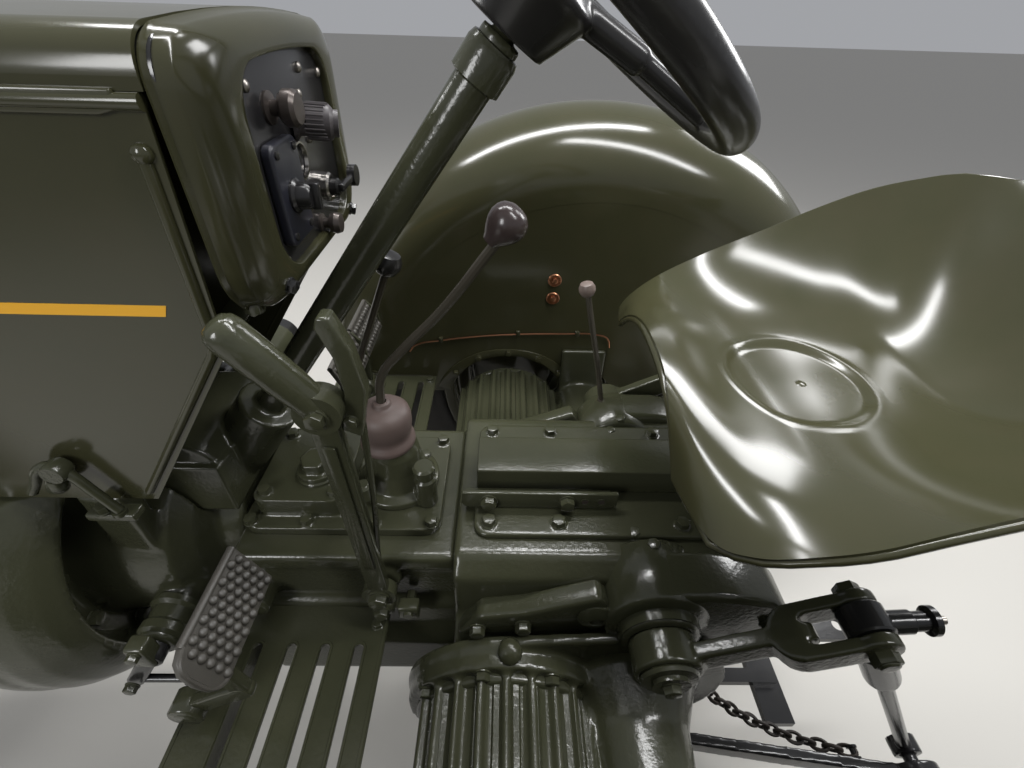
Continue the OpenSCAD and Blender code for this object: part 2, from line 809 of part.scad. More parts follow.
module hood_side() {
    rear_x = gap_x - 3;
    kink_x = rear_x - 11;
    color(olive) chassis() {
        along_y(-hood_half_w, -hood_half_w + sheet_t) polygon([
            [rear_x, bead_z - 3], [kink_x, kink_z], [kink_x - (kink_z - side_low_z) * 0.712, side_low_z],
            [hood_front_x + 3, side_low_z], [hood_front_x + 3, bead_z - 3]
        ]);
        cyl_x(-hood_half_w, bead_z, hood_front_x + 3, rear_x, bead_r);
    }
}

// Plan of the nose, round at its front corners
module nose_plan(inset) {
    r = nose_round - inset;
    w = hood_half_w - inset;
    translate([nose_x + inset + r, -w]) square([hood_front_x - nose_x, 2 * w]);
    translate([nose_x + inset, -w + r]) square([r + 10, 2 * (w - r)]);
    for (s = [-1, 1])
        translate([nose_x + inset + r, s * (w - r)]) circle(r = r);
}

module nose_body(inset) {
    r = nose_round - inset;
    intersection() {
        along_x(nose_x + inset, hood_front_x + 1) difference() {
            hood_outline(inset);
            translate([-400, -1]) square([800, nose_low_z + 1]);
        }
        along_z(0, 1400) nose_plan(inset);
        along_y(-400, 400) union() {
            translate([nose_x + inset + r, 0]) square([500, 1400]);
            translate([nose_x + inset, 0]) square([500, hood_top_z - inset - r]);
            translate([nose_x + inset + r, hood_top_z - inset - r]) circle(r = r);
        }
    }
}

module hood_nose() {
    color(olive) chassis() difference() {
        nose_body(0);
        translate([2, 0, 0]) nose_body(sheet_t);
        block([radiator_x - 20, -hood_half_w + sheet_t, nose_low_z - 1],
              [hood_front_x + 2, hood_half_w - sheet_t, 1240]);
        along_x(nose_x - 10, nose_x + 60) round_rect([-grille_w, nose_low_z + 30], [grille_w, 1200], 40);
    }
}

module grille() {
    w = grille_w;
    pitch = (2 * w - 4) / (grille_bars + 1);
    color(black) chassis() {
        along_x(nose_x + 8, nose_x + 16) difference() {
            round_rect([-w + 0.4, nose_low_z + 30.4], [w - 0.4, 1199.6], 40);
            round_rect([-w + 10, nose_low_z + 40], [w - 10, 1190], 30);
        }
        along_x(nose_x + 9, nose_x + 15) intersection() {
            round_rect([-w + 1, nose_low_z + 31], [w - 1, 1199], 40);
            for (i = [1:grille_bars])
                translate([-w + 2 + i * pitch - 3, nose_low_z]) square([6, 600]);
        }
    }
}

// Cowl with the dash let into its rear face

// Plan of the cowl, round at its rear corners
module cowl_plan(inset) {
    r = cowl_round - inset;
    rear = cowl_rear_x - inset;
    w = hood_half_w - inset;
    along_z(0, 1400) {
        translate([-500, -w]) square([500 + rear - r, 2 * w]);
        translate([-500, -w + r]) square([500 + rear, 2 * (w - r)]);
        for (s = [-1, 1])
            translate([rear - r, s * (w - r)]) circle(r = r);
    }
}

module cowl_body(inset) {
    w = hood_half_w - inset;
    intersection() {
        along_x(gap_x + 3, cowl_rear_x - inset) {
            intersection() {
                hood_outline(inset);
                translate([-w, 1180]) square([2 * w, 200]);
            }
            round_rect([-w, 1110 + inset], [w, 1260], 50 - inset);
        }
        cowl_plan(inset);
    }
}

// Bulkhead frame that holds the cowl and the hood's rear edge
module bulkhead() {
    under = sheet_t + gap;
    intersection() {
        union() {
            along_x(gap_x + 3, gap_x + 7) difference() {
                intersection() {
                    hood_outline(0);
                    translate([-hood_half_w, 1112]) square([2 * hood_half_w, 300]);
                }
                round_rect([-120, 1080], [120, 1286], 20);
            }
            along_x(gap_x - 24, gap_x + 7) difference() {
                hood_outline(under);
                hood_outline(under + 4);
                translate([-400, 0]) square([800, bead_z + 14]);
            }
        }
        cowl_plan(0);
    }
}

// Strut from the bulkhead down to the clutch housing
module cowl_leg() {
    intersection() {
        bar([gap_x + 6, -118, 1124], [-634, -118, leg_foot_z - 16], 30, 6);
        block([-800, -200, leg_foot_z + gap / 3], [gap_x + 7, 200, 1400]);
    }
}

module cowl() {
    color(olive) chassis() {
        difference() {
            union() {
                difference() {
                    cowl_body(0);
                    translate([-1, 0, 0]) cowl_body(sheet_t);
                }
                along_x(dash_x + 5, cowl_rear_x - 1) round_rect([-100, 1128], [100, 1290], 40);
                bulkhead();
            }
            along_x(dash_x + 4, cowl_rear_x + 20) round_rect([-94, 1133], [94, 1285], 36);
            column_cut();
        }
        both_sides() cowl_leg();
    }
}

module column_cut() {
    translate([wheel_x, 0, wheel_z]) rotate([0, 90 - column_a, 0])
        translate([0, 0, -column_len]) cylinder(r = column_r + 3, h = column_len);
}

module dash_panel() {
    x = dash_x;
    color(black) chassis() difference() {
        union() {
            along_x(x, x + 5) round_rect([-101, 1127], [101, 1289], 38);
            for (row = [[-66, 1250, 10], [-30, 1254, 14], [45, 1228, 15], [-10, 1172, 11], [52, 1160, 11]])
                cyl_x(row[0], row[1], x + 4, x + 20, row[2]);
            along_x(x + 4, x + 14) round_rect([-88, 1150], [-56, 1232], 15);
        }
        column_cut();
    }
}

module steering_column() {
    top = wheel_hub_low + 3;
    color(black) chassis() {
        translate([wheel_x, 0, wheel_z]) rotate([0, 90 - column_a, 0]) {
            translate([0, 0, -column_len]) cylinder(r = column_r, h = column_len - top);
            translate([0, 0, -top - 1]) cylinder(r = wheel_shaft_r, h = top - 3);
            translate([0, 0, -column_len - 20]) cylinder(r = 38, h = 110);
        }
        block([box_x - 66, -77, box_z - 61.9], [box_x + 52, 77, box_z + 20]);
        cyl_y(box_x, box_z, -70, 78, 52);
    }
}

// Dished steering wheel with three tapered spokes
module steering_wheel() {
    low = wheel_hub_low;
    color(black) chassis() translate([wheel_x, 0, wheel_z]) rotate([0, 90 - column_a, 0]) {
        rotate_extrude() translate([wheel_rim_r, 0]) circle(r = wheel_grip_r, $fn = 24);
        difference() {
            rotate_extrude()
                polygon([
                    [0, -low], [35, -low], [50, -low + 38], [50, -low + 46], [34, -4], [26, 6], [0, 8]
                ]);
            translate([0, 0, -low - 10]) cylinder(r = wheel_shaft_r + fit, h = low + 6 + gap);
        }
        for (a = [0, 120, 240])
            rotate([0, 0, a]) {
                rod([34, 0, -16], [100, 0, -7], 12);
                rod([96, 0, -7], [wheel_rim_r, 0, 0], 9);
            }
    }
}

module headlamps() {
    color(black) chassis() both_sides() {
        translate([lamp_x, -hood_half_w - 92, 1130]) rotate([0, 90, 0]) rotate_extrude()
            polygon([[0, -56], [60, -56], [84, -50], [84, -34], [76, -10], [52, 34], [24, 52], [0, 56]]);
        along_z(1122, 1138) translate([lamp_x - 6, -hood_half_w - 30]) square([22, 30]);
    }
}

module lamp_glass() {
    color([0.8, 0.85, 0.9]) chassis() both_sides()
        translate([lamp_x - 66, -hood_half_w - 92, 1130]) rotate([0, 90, 0]) rotate_extrude()
            polygon([[0, 0], [40, 2], [78, 9.9], [0, 9.9]]);
}

module exhaust() {
    color([0.12, 0.1, 0.09]) chassis() {
        block([engine_front_x + 40, 98 + gap / 3, 938], [engine_front_x + 470, stack_y, 984]);
        translate([stack_x, stack_y, 961]) sphere(r = stack_r);
        cyl_z(stack_x, stack_y, 961, 1760, stack_r);
        cyl_z(stack_x, stack_y, 1380, 1660, 46);
    }
}

// Drawbar frame below the rear case

module drawbar() {
    color(black) chassis() difference() {
        union() {
            both_sides() {
                block([-90, -120, 345], [330, -96, 360]);
                block([-90, -120, 345], [20, -104, 405]);
            }
            block([290, -180, 330], [340, 180, 345]);
            block([-90, -30, 318], [hitch_x + 32, 30, 330]);
            block([-90, -120, 330], [-60, 120, 345]);
        }
        cyl_z(hitch_x, 0, 300, 340, 12.5);
    }
}

// Steering linkage on the right side

module pitman_arm() {
    color(black) chassis() {
        cyl_y(box_x, box_z, 160, pitman_y, pitman_shaft_r);
        cyl_y(box_x, box_z, pitman_y - 9, pitman_y + 14, 30);
        along_y(pitman_y - 8, pitman_y + 8) bar_outline([box_x, box_z], [box_x, box_z - pitman_len], 16);
        cyl_y(box_x, box_z - pitman_len, pitman_y, pitman_y + 44, 9);
    }
}

module drag_link() {
    ends = [[box_x, drag_y0, box_z - pitman_len], [front_x, drag_y1, drag_z1]];
    color(black) chassis() difference() {
        union() {
            rod(ends[0], ends[1], drag_r);
            cyl_y(ends[0][0], ends[0][2], drag_y0 - 14, drag_y0 + 14, 22);
            cyl_z(front_x, drag_y1, drag_z1 - 16, drag_z1 + 16, 22);
            cyl_z(front_x, drag_y1, sleeve_z1 + 20 + gap, drag_z1 - 15, 9);
        }
        cyl_y(ends[0][0], ends[0][2], pitman_y - 1, pitman_y + 60, 9 + fit);
    }
}

module knuckle(side) {
    wheel_c = front_tyre_d / 2 - body_rise;
    color(olive) chassis() on_side(side) {
        cyl_z(front_x, -king_y, sleeve_z0 - 6, sleeve_z1 + 12, king_r);
        along_z(wheel_c - 34, sleeve_z0 - gap) translate([front_x, -king_y]) circle(r = 30);
        cyl_y(front_x, wheel_c, -king_y - 48, -king_y, 28);
        cyl_y(front_x, wheel_c, -front_track_half - 40, -king_y, spindle_r);
        along_z(tie_z - 10, tie_z + 8)
            bar_outline([front_x, -king_y], [front_x + tie_arm_len, -king_y], 17);
        cyl_z(front_x + tie_arm_len, -king_y, tie_z - 46, tie_z - 9, tie_pin_r);
        if (side > 0)
            along_z(sleeve_z1 + gap, sleeve_z1 + 20)
                bar_outline([front_x, -king_y], [front_x, -king_y + arm_top_len], 22);
        else
            cyl_z(front_x, -king_y, sleeve_z1 + gap, sleeve_z1 + 12, 26);
    }
}

module knuckle_left() {
    knuckle(-1);
}

module knuckle_right() {
    knuckle(1);
}

module tie_rod() {
    z = tie_z - 28;
    color(black) chassis() difference() {
        union() {
            rod([front_x + tie_arm_len, -king_y + 16, z], [front_x + tie_arm_len, king_y - 16, z], 12);
            both_sides() cyl_z(front_x + tie_arm_len, -king_y, z - 14, z + 14, 21);
        }
        both_sides() cyl_z(front_x + tie_arm_len, -king_y, z - 40, z + 40, tie_pin_r + fit);
    }
}

// Rear wheels

module rear_wheel(side) {
    r = rear_rim_d / 2;
    half = rear_tyre_w / 2 - 22;
    color(olive) on_floor() on_side(side)
        translate([0, -rear_track_half, rear_tyre_d / 2]) rotate([90, 0, 0]) {
            rotate_extrude() polygon([
                [r + 20, -half - 10], [r + 20, -half - 2], [r - 0.1, -half], [r - 0.1, -half + 40],
                [r - 36, -half + 52], [r - 36, half - 52], [r - 0.1, half - 40], [r - 0.1, half],
                [r + 20, half + 2], [r + 20, half + 10], [r - 8, half + 8], [r - 10, half - 34],
                [r - 44, half - 46], [r - 44, -half + 46], [r - 10, -half + 34], [r - 8, -half - 8]
            ]);
            difference() {
                rotate_extrude() polygon([
                    [axle_r + 20, -40], [96, -40], [150, -10], [r - 40, 0], [r - 40, 12],
                    [146, 4], [90, -26], [axle_r + 20, -26]
                ]);
                for (a = [0:45:315])
                    rotate([0, 0, a + 22.5]) translate([206, 0, -60]) cylinder(r = 26, h = 120);
            }
            translate([0, 0, -40]) cylinder(r = 76, h = 64);
            translate([0, 0, 20]) cylinder(r = 52, h = 34);
            for (a = [0:45:315])
                rotate([0, 0, a]) translate([64, 0, 22]) cylinder(r = 10, h = 12, $fn = 6);
            hub_in = -(rear_track_half - trumpet_end_y) + gap;
            translate([0, 0, hub_in]) cylinder(r = 60, h = -hub_in - 30);
            translate([0, 0, hub_in - 70]) cylinder(r = axle_r, h = 80);
        }
}

module rear_wheel_left() {
    rear_wheel(-1);
}

module rear_wheel_right() {
    rear_wheel(1);
}

// Stations of a lug from the tyre's middle to its shoulder: [axial share, drop, degrees along the tread]
lug_stations = [[0.03, 0, 0], [0.5, 3, 6.5], [0.96, 22, 10.5]];

function lug_point(k, corner, a0, row) =
    let (st = lug_stations[k])
    let (tip = corner < 2)
    let (r = rear_tyre_d / 2 - st[1] - (tip ? 0 : lug_h + 14))
    let (half = (tip ? lug_w / 2 : lug_w / 2 + 5) / r * 57.3)
    let (a = a0 + st[2] + (corner == 0 || corner == 3 ? -half : half))
    [r * cos(a), r * sin(a), row * st[0] * rear_tyre_w / 2];

module lug(a0, row) {
    points = [for (k = [0:2], corner = [0:3]) lug_point(k, corner, a0, row)];
    quads = concat(
        [for (k = [0, 1], c = [0:3])
            [k * 4 + c, k * 4 + (c + 1) % 4, k * 4 + 4 + (c + 1) % 4, k * 4 + 4 + c]],
        [[3, 2, 1, 0], [8, 9, 10, 11]]
    );
    tris = [for (q = quads) each [[q[0], q[1], q[2]], [q[0], q[2], q[3]]]];
    polyhedron(points = points, faces = row > 0 ? [for (t = tris) [t[2], t[1], t[0]]] : tris);
}

module rear_tyre(side) {
    r = rear_tyre_d / 2 - lug_h;
    w = rear_tyre_w / 2;
    bead = rear_rim_d / 2;
    color(tyre_black) on_floor() on_side(side)
        translate([0, -rear_track_half, rear_tyre_d / 2]) rotate([90, 0, 0]) {
            rotate_extrude() polygon([
                [bead, -w + 34], [bead + 24, -w + 24], [bead + 44, -w + 6], [r - 110, -w], [r - 50, -w + 3],
                [r - 14, -w + 20], [r, -w * 0.4], [r, w * 0.4], [r - 14, w - 20], [r - 50, w - 3],
                [r - 110, w], [bead + 44, w - 6], [bead + 24, w - 24], [bead, w - 34]
            ]);
            for (i = [0:lug_count - 1]) {
                lug(i * 360 / lug_count - 90, 1);
                lug((i + 0.5) * 360 / lug_count - 90, -1);
            }
        }
}

module rear_tyre_left() {
    rear_tyre(-1);
}

module rear_tyre_right() {
    rear_tyre(1);
}

// Front wheels

module front_wheel(side) {
    r = front_rim_d / 2;
    half = front_tyre_w / 2 - 16;
    color(olive) on_floor() on_side(side)
        translate([front_x, -front_track_half, front_tyre_d / 2]) rotate([90, 0, 0]) difference() {
            union() {
                rotate_extrude() polygon([
                    [r + 14, -half - 8], [r - 0.1, -half], [r - 0.1, -half + 24], [r - 22, -half + 32],
                    [r - 22, half - 32], [r - 0.1, half - 24], [r - 0.1, half], [r + 14, half + 8],
                    [r - 8, half + 6], [r - 8, half - 20], [r - 28, half - 28], [r - 28, -half + 28],
                    [r - 8, -half + 20], [r - 8, -half - 6]
                ]);
                rotate_extrude() polygon([
                    [30, 8], [80, 8], [110, -4], [r - 25, -4], [r - 25, 4], [112, 4], [84, 16], [30, 16]
                ]);
                translate([0, 0, -66]) cylinder(r = 36, h = 104);
                translate([0, 0, 37]) cylinder(r = 30, h = 30);
                for (a = [0:60:300])
                    rotate([0, 0, a]) translate([56, 0, 14]) cylinder(r = 8, h = 10, $fn = 6);
            }
            translate([0, 0, -70]) cylinder(r = spindle_r + fit, h = 112);
        }
}

module front_wheel_left() {
    front_wheel(-1);
}

module front_wheel_right() {
    front_wheel(1);
}

module front_tyre(side) {
    r = front_tyre_d / 2;
    w = front_tyre_w / 2;
    bead = front_rim_d / 2;
    color(tyre_black) on_floor() on_side(side)
        translate([front_x, -front_track_half, r]) rotate([90, 0, 0]) rotate_extrude()
            polygon([
                [bead, -w + 20], [bead + 24, -w + 6], [r - 60, -w], [r - 26, -w + 6], [r - 14, -w + 22],
                [r - 22, -w + 28], [r - 20, -24], [r - 3, -20], [r - 3, 20], [r - 20, 24],
                [r - 22, w - 28], [r - 14, w - 22], [r - 26, w - 6], [r - 60, w],
                [bead + 24, w - 6], [bead, w - 20]
            ]);
}

module front_tyre_left() {
    front_tyre(-1);
}

module front_tyre_right() {
    front_tyre(1);
}

// Lift linkage: rockshaft with its arms, lift rods and lower links

module lift_arm() {
    fork_x0 = lift_arm_len - 66;
    translate([rock_x, 0, rock_z]) rotate([0, -arm_a, 0]) {
        cyl_y(0, 0, -arm_y - 14, -rock_half_y - gap, 40);
        along_y(-arm_y - 9, -arm_y + 9) bar_outline([0, 0], [fork_x0, 0], 19);
        along_z(-18, 18) difference() {
            union() {
                translate([fork_x0, -arm_y]) circle(r = 30);
                translate([fork_x0, -arm_y - 30]) square([lift_arm_len - fork_x0, 60]);
            }
            translate([fork_x0 + 16, -arm_y]) circle(r = 16);
            translate([fork_x0 + 16, -arm_y - 16]) square([lift_arm_len, 32]);
        }
        for (y = [-arm_y - 30, -arm_y + 16])
            cyl_y(lift_arm_len, 0, y, y + 14, 22);
        cyl_y(lift_arm_len, 0, -arm_y - 44, -arm_y + 34, rod_pin_r);
    }
}

module lift_arms() {
    color(black) chassis() {
        cyl_y(rock_x, rock_z, -arm_y, arm_y, rock_r);
        both_sides() lift_arm();
    }
}

module lift_rod(side) {
    top = [pin_x, -arm_y, pin_z];
    low = [link_rod_x, -rod_low_y, rod_low_z];
    dir = (low - top) / norm(low - top);
    color(black) chassis() on_side(side) difference() {
        union() {
            rod(top + 18 * dir, low - 14 * dir, 10);
            rod(top + 60 * dir, top + 150 * dir, 20);
            cyl_y(pin_x, pin_z, -arm_y - 14, -arm_y + 14, 22);
            cyl_y(link_rod_x, rod_low_z, -rod_low_y - 12, -rod_low_y + 12, 20);
            cyl_y(link_rod_x, rod_low_z, -rod_low_y - 24 + gap, -rod_low_y - 11, 10);
        }
        cyl_y(pin_x, pin_z, -arm_y - 20, -arm_y + 20, rod_pin_r + fit);
    }
}

module lift_rod_left() {
    lift_rod(-1);
}

module lift_rod_right() {
    lift_rod(1);
}

module lower_link(side) {
    eye_z = link_z + 24;
    face_y = -rod_low_y - 24;
    color(dark_olive) chassis() on_side(side) difference() {
        union() {
            translate([0, -link_front_y, link_z])
                rotate([0, -atan2(eye_z - link_z, link_len), -atan2(link_rear_y - link_front_y, link_len)])
                    translate([20, -8, -17]) cube([link_len - 34, 16, 34]);
            cyl_y(0, link_z, -link_front_y - 14, -link_front_y + 14, 24);
            cyl_y(link_len, eye_z, -link_rear_y - 18, -link_rear_y + 18, link_eye_out_r);
            cyl_y(link_rod_x, rod_low_z - 6, face_y - 22, face_y, 34);
        }
        cyl_y(0, link_z, -link_front_y - 20, -link_front_y + 20, link_pin_r + fit);
        cyl_y(link_len, eye_z, -link_rear_y - 20, -link_rear_y + 20, link_eye_r);
    }
}

module lower_link_left() {
    lower_link(-1);
}

module lower_link_right() {
    lower_link(1);
}

module hood_side_left() {
    hood_side();
}

module hood_side_right() {
    mirror([0, 1, 0]) hood_side();
}

engine_block();
clutch_housing();
gearbox();
rear_case();
gearbox_cover();
shift_tower();
shift_boot();
gear_levers();
lever_knobs();
hand_lever();
final_drives();
lift_housing();
seat_arm();
seat_pan();
fenders();
footplates();
clutch_pedal();
brake_pedals();
front_support();
radiator();
front_axle();
hood_top();
hood_nose();
grille();
cowl();
dash_panel();
steering_column();
headlamps();
lamp_glass();
exhaust();
drawbar();
steering_wheel();
pitman_arm();
drag_link();
knuckle_left();
knuckle_right();
tie_rod();
rear_wheel_left();
rear_wheel_right();
rear_tyre_left();
rear_tyre_right();
front_wheel_left();
front_wheel_right();
front_tyre_left();
front_tyre_right();
lift_arms();
lift_rod_left();
lift_rod_right();
lower_link_left();
lower_link_right();
hood_side_left();
hood_side_right();
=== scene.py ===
"""Looks of an open vintage tractor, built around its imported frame.

Places are given in millimetres from the rear axle's middle: x backwards, y to the
machine's right, z above the floor, as in the part's own source. The left side is at
negative y.
"""

import json
import logging
import math
from dataclasses import dataclass
from enum import Enum, IntEnum
from typing import Sequence

import bmesh
import bpy
from mathutils import Matrix, Vector

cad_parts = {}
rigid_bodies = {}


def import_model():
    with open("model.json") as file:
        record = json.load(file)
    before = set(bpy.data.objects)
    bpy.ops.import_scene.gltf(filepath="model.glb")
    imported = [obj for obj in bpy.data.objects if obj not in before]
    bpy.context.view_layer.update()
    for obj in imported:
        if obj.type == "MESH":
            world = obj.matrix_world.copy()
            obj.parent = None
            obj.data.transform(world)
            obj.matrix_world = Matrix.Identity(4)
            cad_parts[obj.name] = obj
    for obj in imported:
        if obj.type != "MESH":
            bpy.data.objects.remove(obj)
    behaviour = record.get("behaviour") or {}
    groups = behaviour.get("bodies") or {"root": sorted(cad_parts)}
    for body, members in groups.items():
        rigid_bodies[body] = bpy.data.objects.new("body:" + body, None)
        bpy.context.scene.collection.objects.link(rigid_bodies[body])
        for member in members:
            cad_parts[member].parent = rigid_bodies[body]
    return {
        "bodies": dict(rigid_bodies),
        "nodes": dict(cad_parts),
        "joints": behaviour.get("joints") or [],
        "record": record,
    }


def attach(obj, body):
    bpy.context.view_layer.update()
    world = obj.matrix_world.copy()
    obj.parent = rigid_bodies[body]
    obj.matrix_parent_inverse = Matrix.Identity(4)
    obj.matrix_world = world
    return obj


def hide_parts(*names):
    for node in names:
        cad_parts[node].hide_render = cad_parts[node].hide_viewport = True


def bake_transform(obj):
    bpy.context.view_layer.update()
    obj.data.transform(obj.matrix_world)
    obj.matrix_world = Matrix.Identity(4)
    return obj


log = logging.getLogger("tractor")
logging.basicConfig(level=logging.INFO, format="%(message)s")

Colour = tuple[float, float, float]
Point = tuple[float, float, float]
Flat = tuple[float, float]
Line = tuple[Flat, ...]

# A millimetre in metres, and the rear axle's place in the shared frame
MM = 0.001
AXLE_X = 0.657
CHASSIS = "chassis"

# Directions on the machine
BACK: Point = (1, 0, 0)
RIGHT: Point = (0, 1, 0)
LEFT: Point = (0, -1, 0)
UP: Point = (0, 0, 1)

# Station and height of the rockshaft, and the distance between the axles, in millimetres
ROCKSHAFT: Flat = (15.0, 720.0)
WHEELBASE = 1700.0


class Side(IntEnum):
    """A side of the tractor, as the sign of its y."""

    LEFT = -1
    RIGHT = 1

    @property
    def word(self) -> str:
        """The side's name at the end of a piece's or a body's name."""
        return self.name.lower()


def spot(x: float, y: float, z: float) -> Vector:
    """Gives a point in metres in the shared frame.

    Args:
        x: Millimetres behind the rear axle.
        y: Millimetres to the right of the centre line.
        z: Millimetres above the floor.

    Returns:
        The point as a vector.
    """
    return Vector((x * MM + AXLE_X, y * MM, z * MM))


def push_y(y: float) -> Vector:
    """Gives a push of y millimetres to the right, in metres."""
    return Vector((0, y * MM, 0))


def upright(y: float, places: Sequence[Flat]) -> list[Vector]:
    """Gives points of the upright plane at y, from their stations and heights in millimetres."""
    return [spot(x, y, z) for x, z in places]


def turned(direction: Sequence[float]) -> Matrix:
    """Gives the rotation that lays the Z axis along a direction.

    Args:
        direction: Where the Z axis goes.

    Returns:
        A 4x4 rotation.
    """
    return Vector(direction).normalized().to_track_quat("Z", "Y").to_matrix().to_4x4()


# Finishes


class Group(Enum):
    """Names of the shared shader groups."""

    GRAIN = "paint_grain"
    FILM = "dust_film"


def new_group(kind: Group, inputs: dict[str, float], outputs: dict[str, str]) -> bpy.types.ShaderNodeTree:
    """Makes an empty shader node group with its sockets.

    Args:
        kind: Which shared group it is.
        inputs: Number inputs and their defaults.
        outputs: Outputs and their socket types.

    Returns:
        The node tree, with its two ends in place.
    """
    tree = bpy.data.node_groups.new(kind.value, "ShaderNodeTree")
    for name, value in inputs.items():
        made = tree.interface.new_socket(name=name, in_out="INPUT", socket_type="NodeSocketFloat")
        made.default_value = value
    for name, socket in outputs.items():
        tree.interface.new_socket(name=name, in_out="OUTPUT", socket_type=socket)
    tree.nodes.new("NodeGroupInput")
    tree.nodes.new("NodeGroupOutput")
    return tree


def add(tree: bpy.types.NodeTree, kind: str, **settings: object) -> bpy.types.Node:
    """Adds a node and sets its fields.

    Args:
        tree: The tree that gets the node.
        kind: The node's type without its prefix.
        **settings: Fields of the node, or in_NAME for an input's value.

    Returns:
        The new node.
    """
    node = tree.nodes.new("ShaderNode" + kind)
    for key, value in settings.items():
        if key.startswith("in_"):
            node.inputs[key[3:].replace("_", " ")].default_value = value
        else:
            setattr(node, key, value)
    return node


def number(tree: bpy.types.NodeTree, work: str, a: object, b: object, clamp: bool = False) -> bpy.types.NodeSocket:
    """Adds a sum of two values.

    Args:
        tree: The tree that gets the node.
        work: What is done with them, such as MULTIPLY.
        a: A socket or a number.
        b: A socket or a number.
        clamp: True to keep the result between 0 and 1.

    Returns:
        The result's socket.
    """
    node = add(tree, "Math", operation=work, use_clamp=clamp)
    for k, value in enumerate((a, b)):
        if isinstance(value, bpy.types.NodeSocket):
            tree.links.new(value, node.inputs[k])
        else:
            node.inputs[k].default_value = value
    return node.outputs[0]


def build_grain_group() -> bpy.types.ShaderNodeTree:
    """Builds the surface under the paint: lumps, fine orange peel and slow waves.

    Returns:
        The group, which puts out a height in metres and a mottling mask.
    """
    tree = new_group(
        Group.GRAIN,
        {"Lump Size": 0.006, "Lump Height": 0.0002, "Peel Height": 0.00003, "Wave Height": 0.0003},
        {"Height": "NodeSocketFloat", "Mottle": "NodeSocketFloat"},
    )
    ins = tree.nodes["Group Input"].outputs
    outs = tree.nodes["Group Output"].inputs
    place = add(tree, "TexCoord").outputs["Object"]
    scale = number(tree, "DIVIDE", 1.0, ins["Lump Size"])
    lump = add(tree, "TexNoise", in_Detail=2.0, in_Roughness=0.55)
    peel = add(tree, "TexNoise", in_Scale=620.0, in_Detail=1.0)
    wave = add(tree, "TexNoise", in_Scale=5.0, in_Detail=1.0)
    spots = add(tree, "TexNoise", in_Scale=14.0, in_Detail=5.0, in_Roughness=0.62)
    for noise in (lump, peel, wave, spots):
        tree.links.new(place, noise.inputs["Vector"])
    tree.links.new(scale, lump.inputs["Scale"])
    tall = number(tree, "MULTIPLY", lump.outputs["Fac"], ins["Lump Height"])
    tall = number(tree, "ADD", tall, number(tree, "MULTIPLY", peel.outputs["Fac"], ins["Peel Height"]))
    tall = number(tree, "ADD", tall, number(tree, "MULTIPLY", wave.outputs["Fac"], ins["Wave Height"]))
    tree.links.new(tall, outs["Height"])
    tree.links.new(spots.outputs["Fac"], outs["Mottle"])
    return tree


def build_film_group() -> bpy.types.ShaderNodeTree:
    """Builds the dust that lies thickest near the floor and in small specks.

    Returns:
        The group, which puts out a mask.
    """
    tree = new_group(Group.FILM, {"Amount": 0.3, "Reach": 0.5}, {"Mask": "NodeSocketFloat"})
    ins = tree.nodes["Group Input"].outputs
    outs = tree.nodes["Group Output"].inputs
    place = add(tree, "TexCoord").outputs["Object"]
    apart = add(tree, "SeparateXYZ")
    tree.links.new(place, apart.inputs[0])
    cloud = add(tree, "TexNoise", in_Scale=9.0, in_Detail=6.0, in_Roughness=0.7)
    tree.links.new(place, cloud.inputs["Vector"])
    low = number(tree, "DIVIDE", apart.outputs["Z"], ins["Reach"])
    low = number(tree, "SUBTRACT", 1.0, low, clamp=True)
    low = number(tree, "ADD", number(tree, "MULTIPLY", low, 0.75), 0.25)
    thick = number(tree, "SUBTRACT", cloud.outputs["Fac"], 0.36)
    thick = number(tree, "MULTIPLY", thick, 2.6, clamp=True)
    mask = number(tree, "MULTIPLY", number(tree, "MULTIPLY", thick, low), ins["Amount"], clamp=True)
    tree.links.new(mask, outs["Mask"])
    return tree


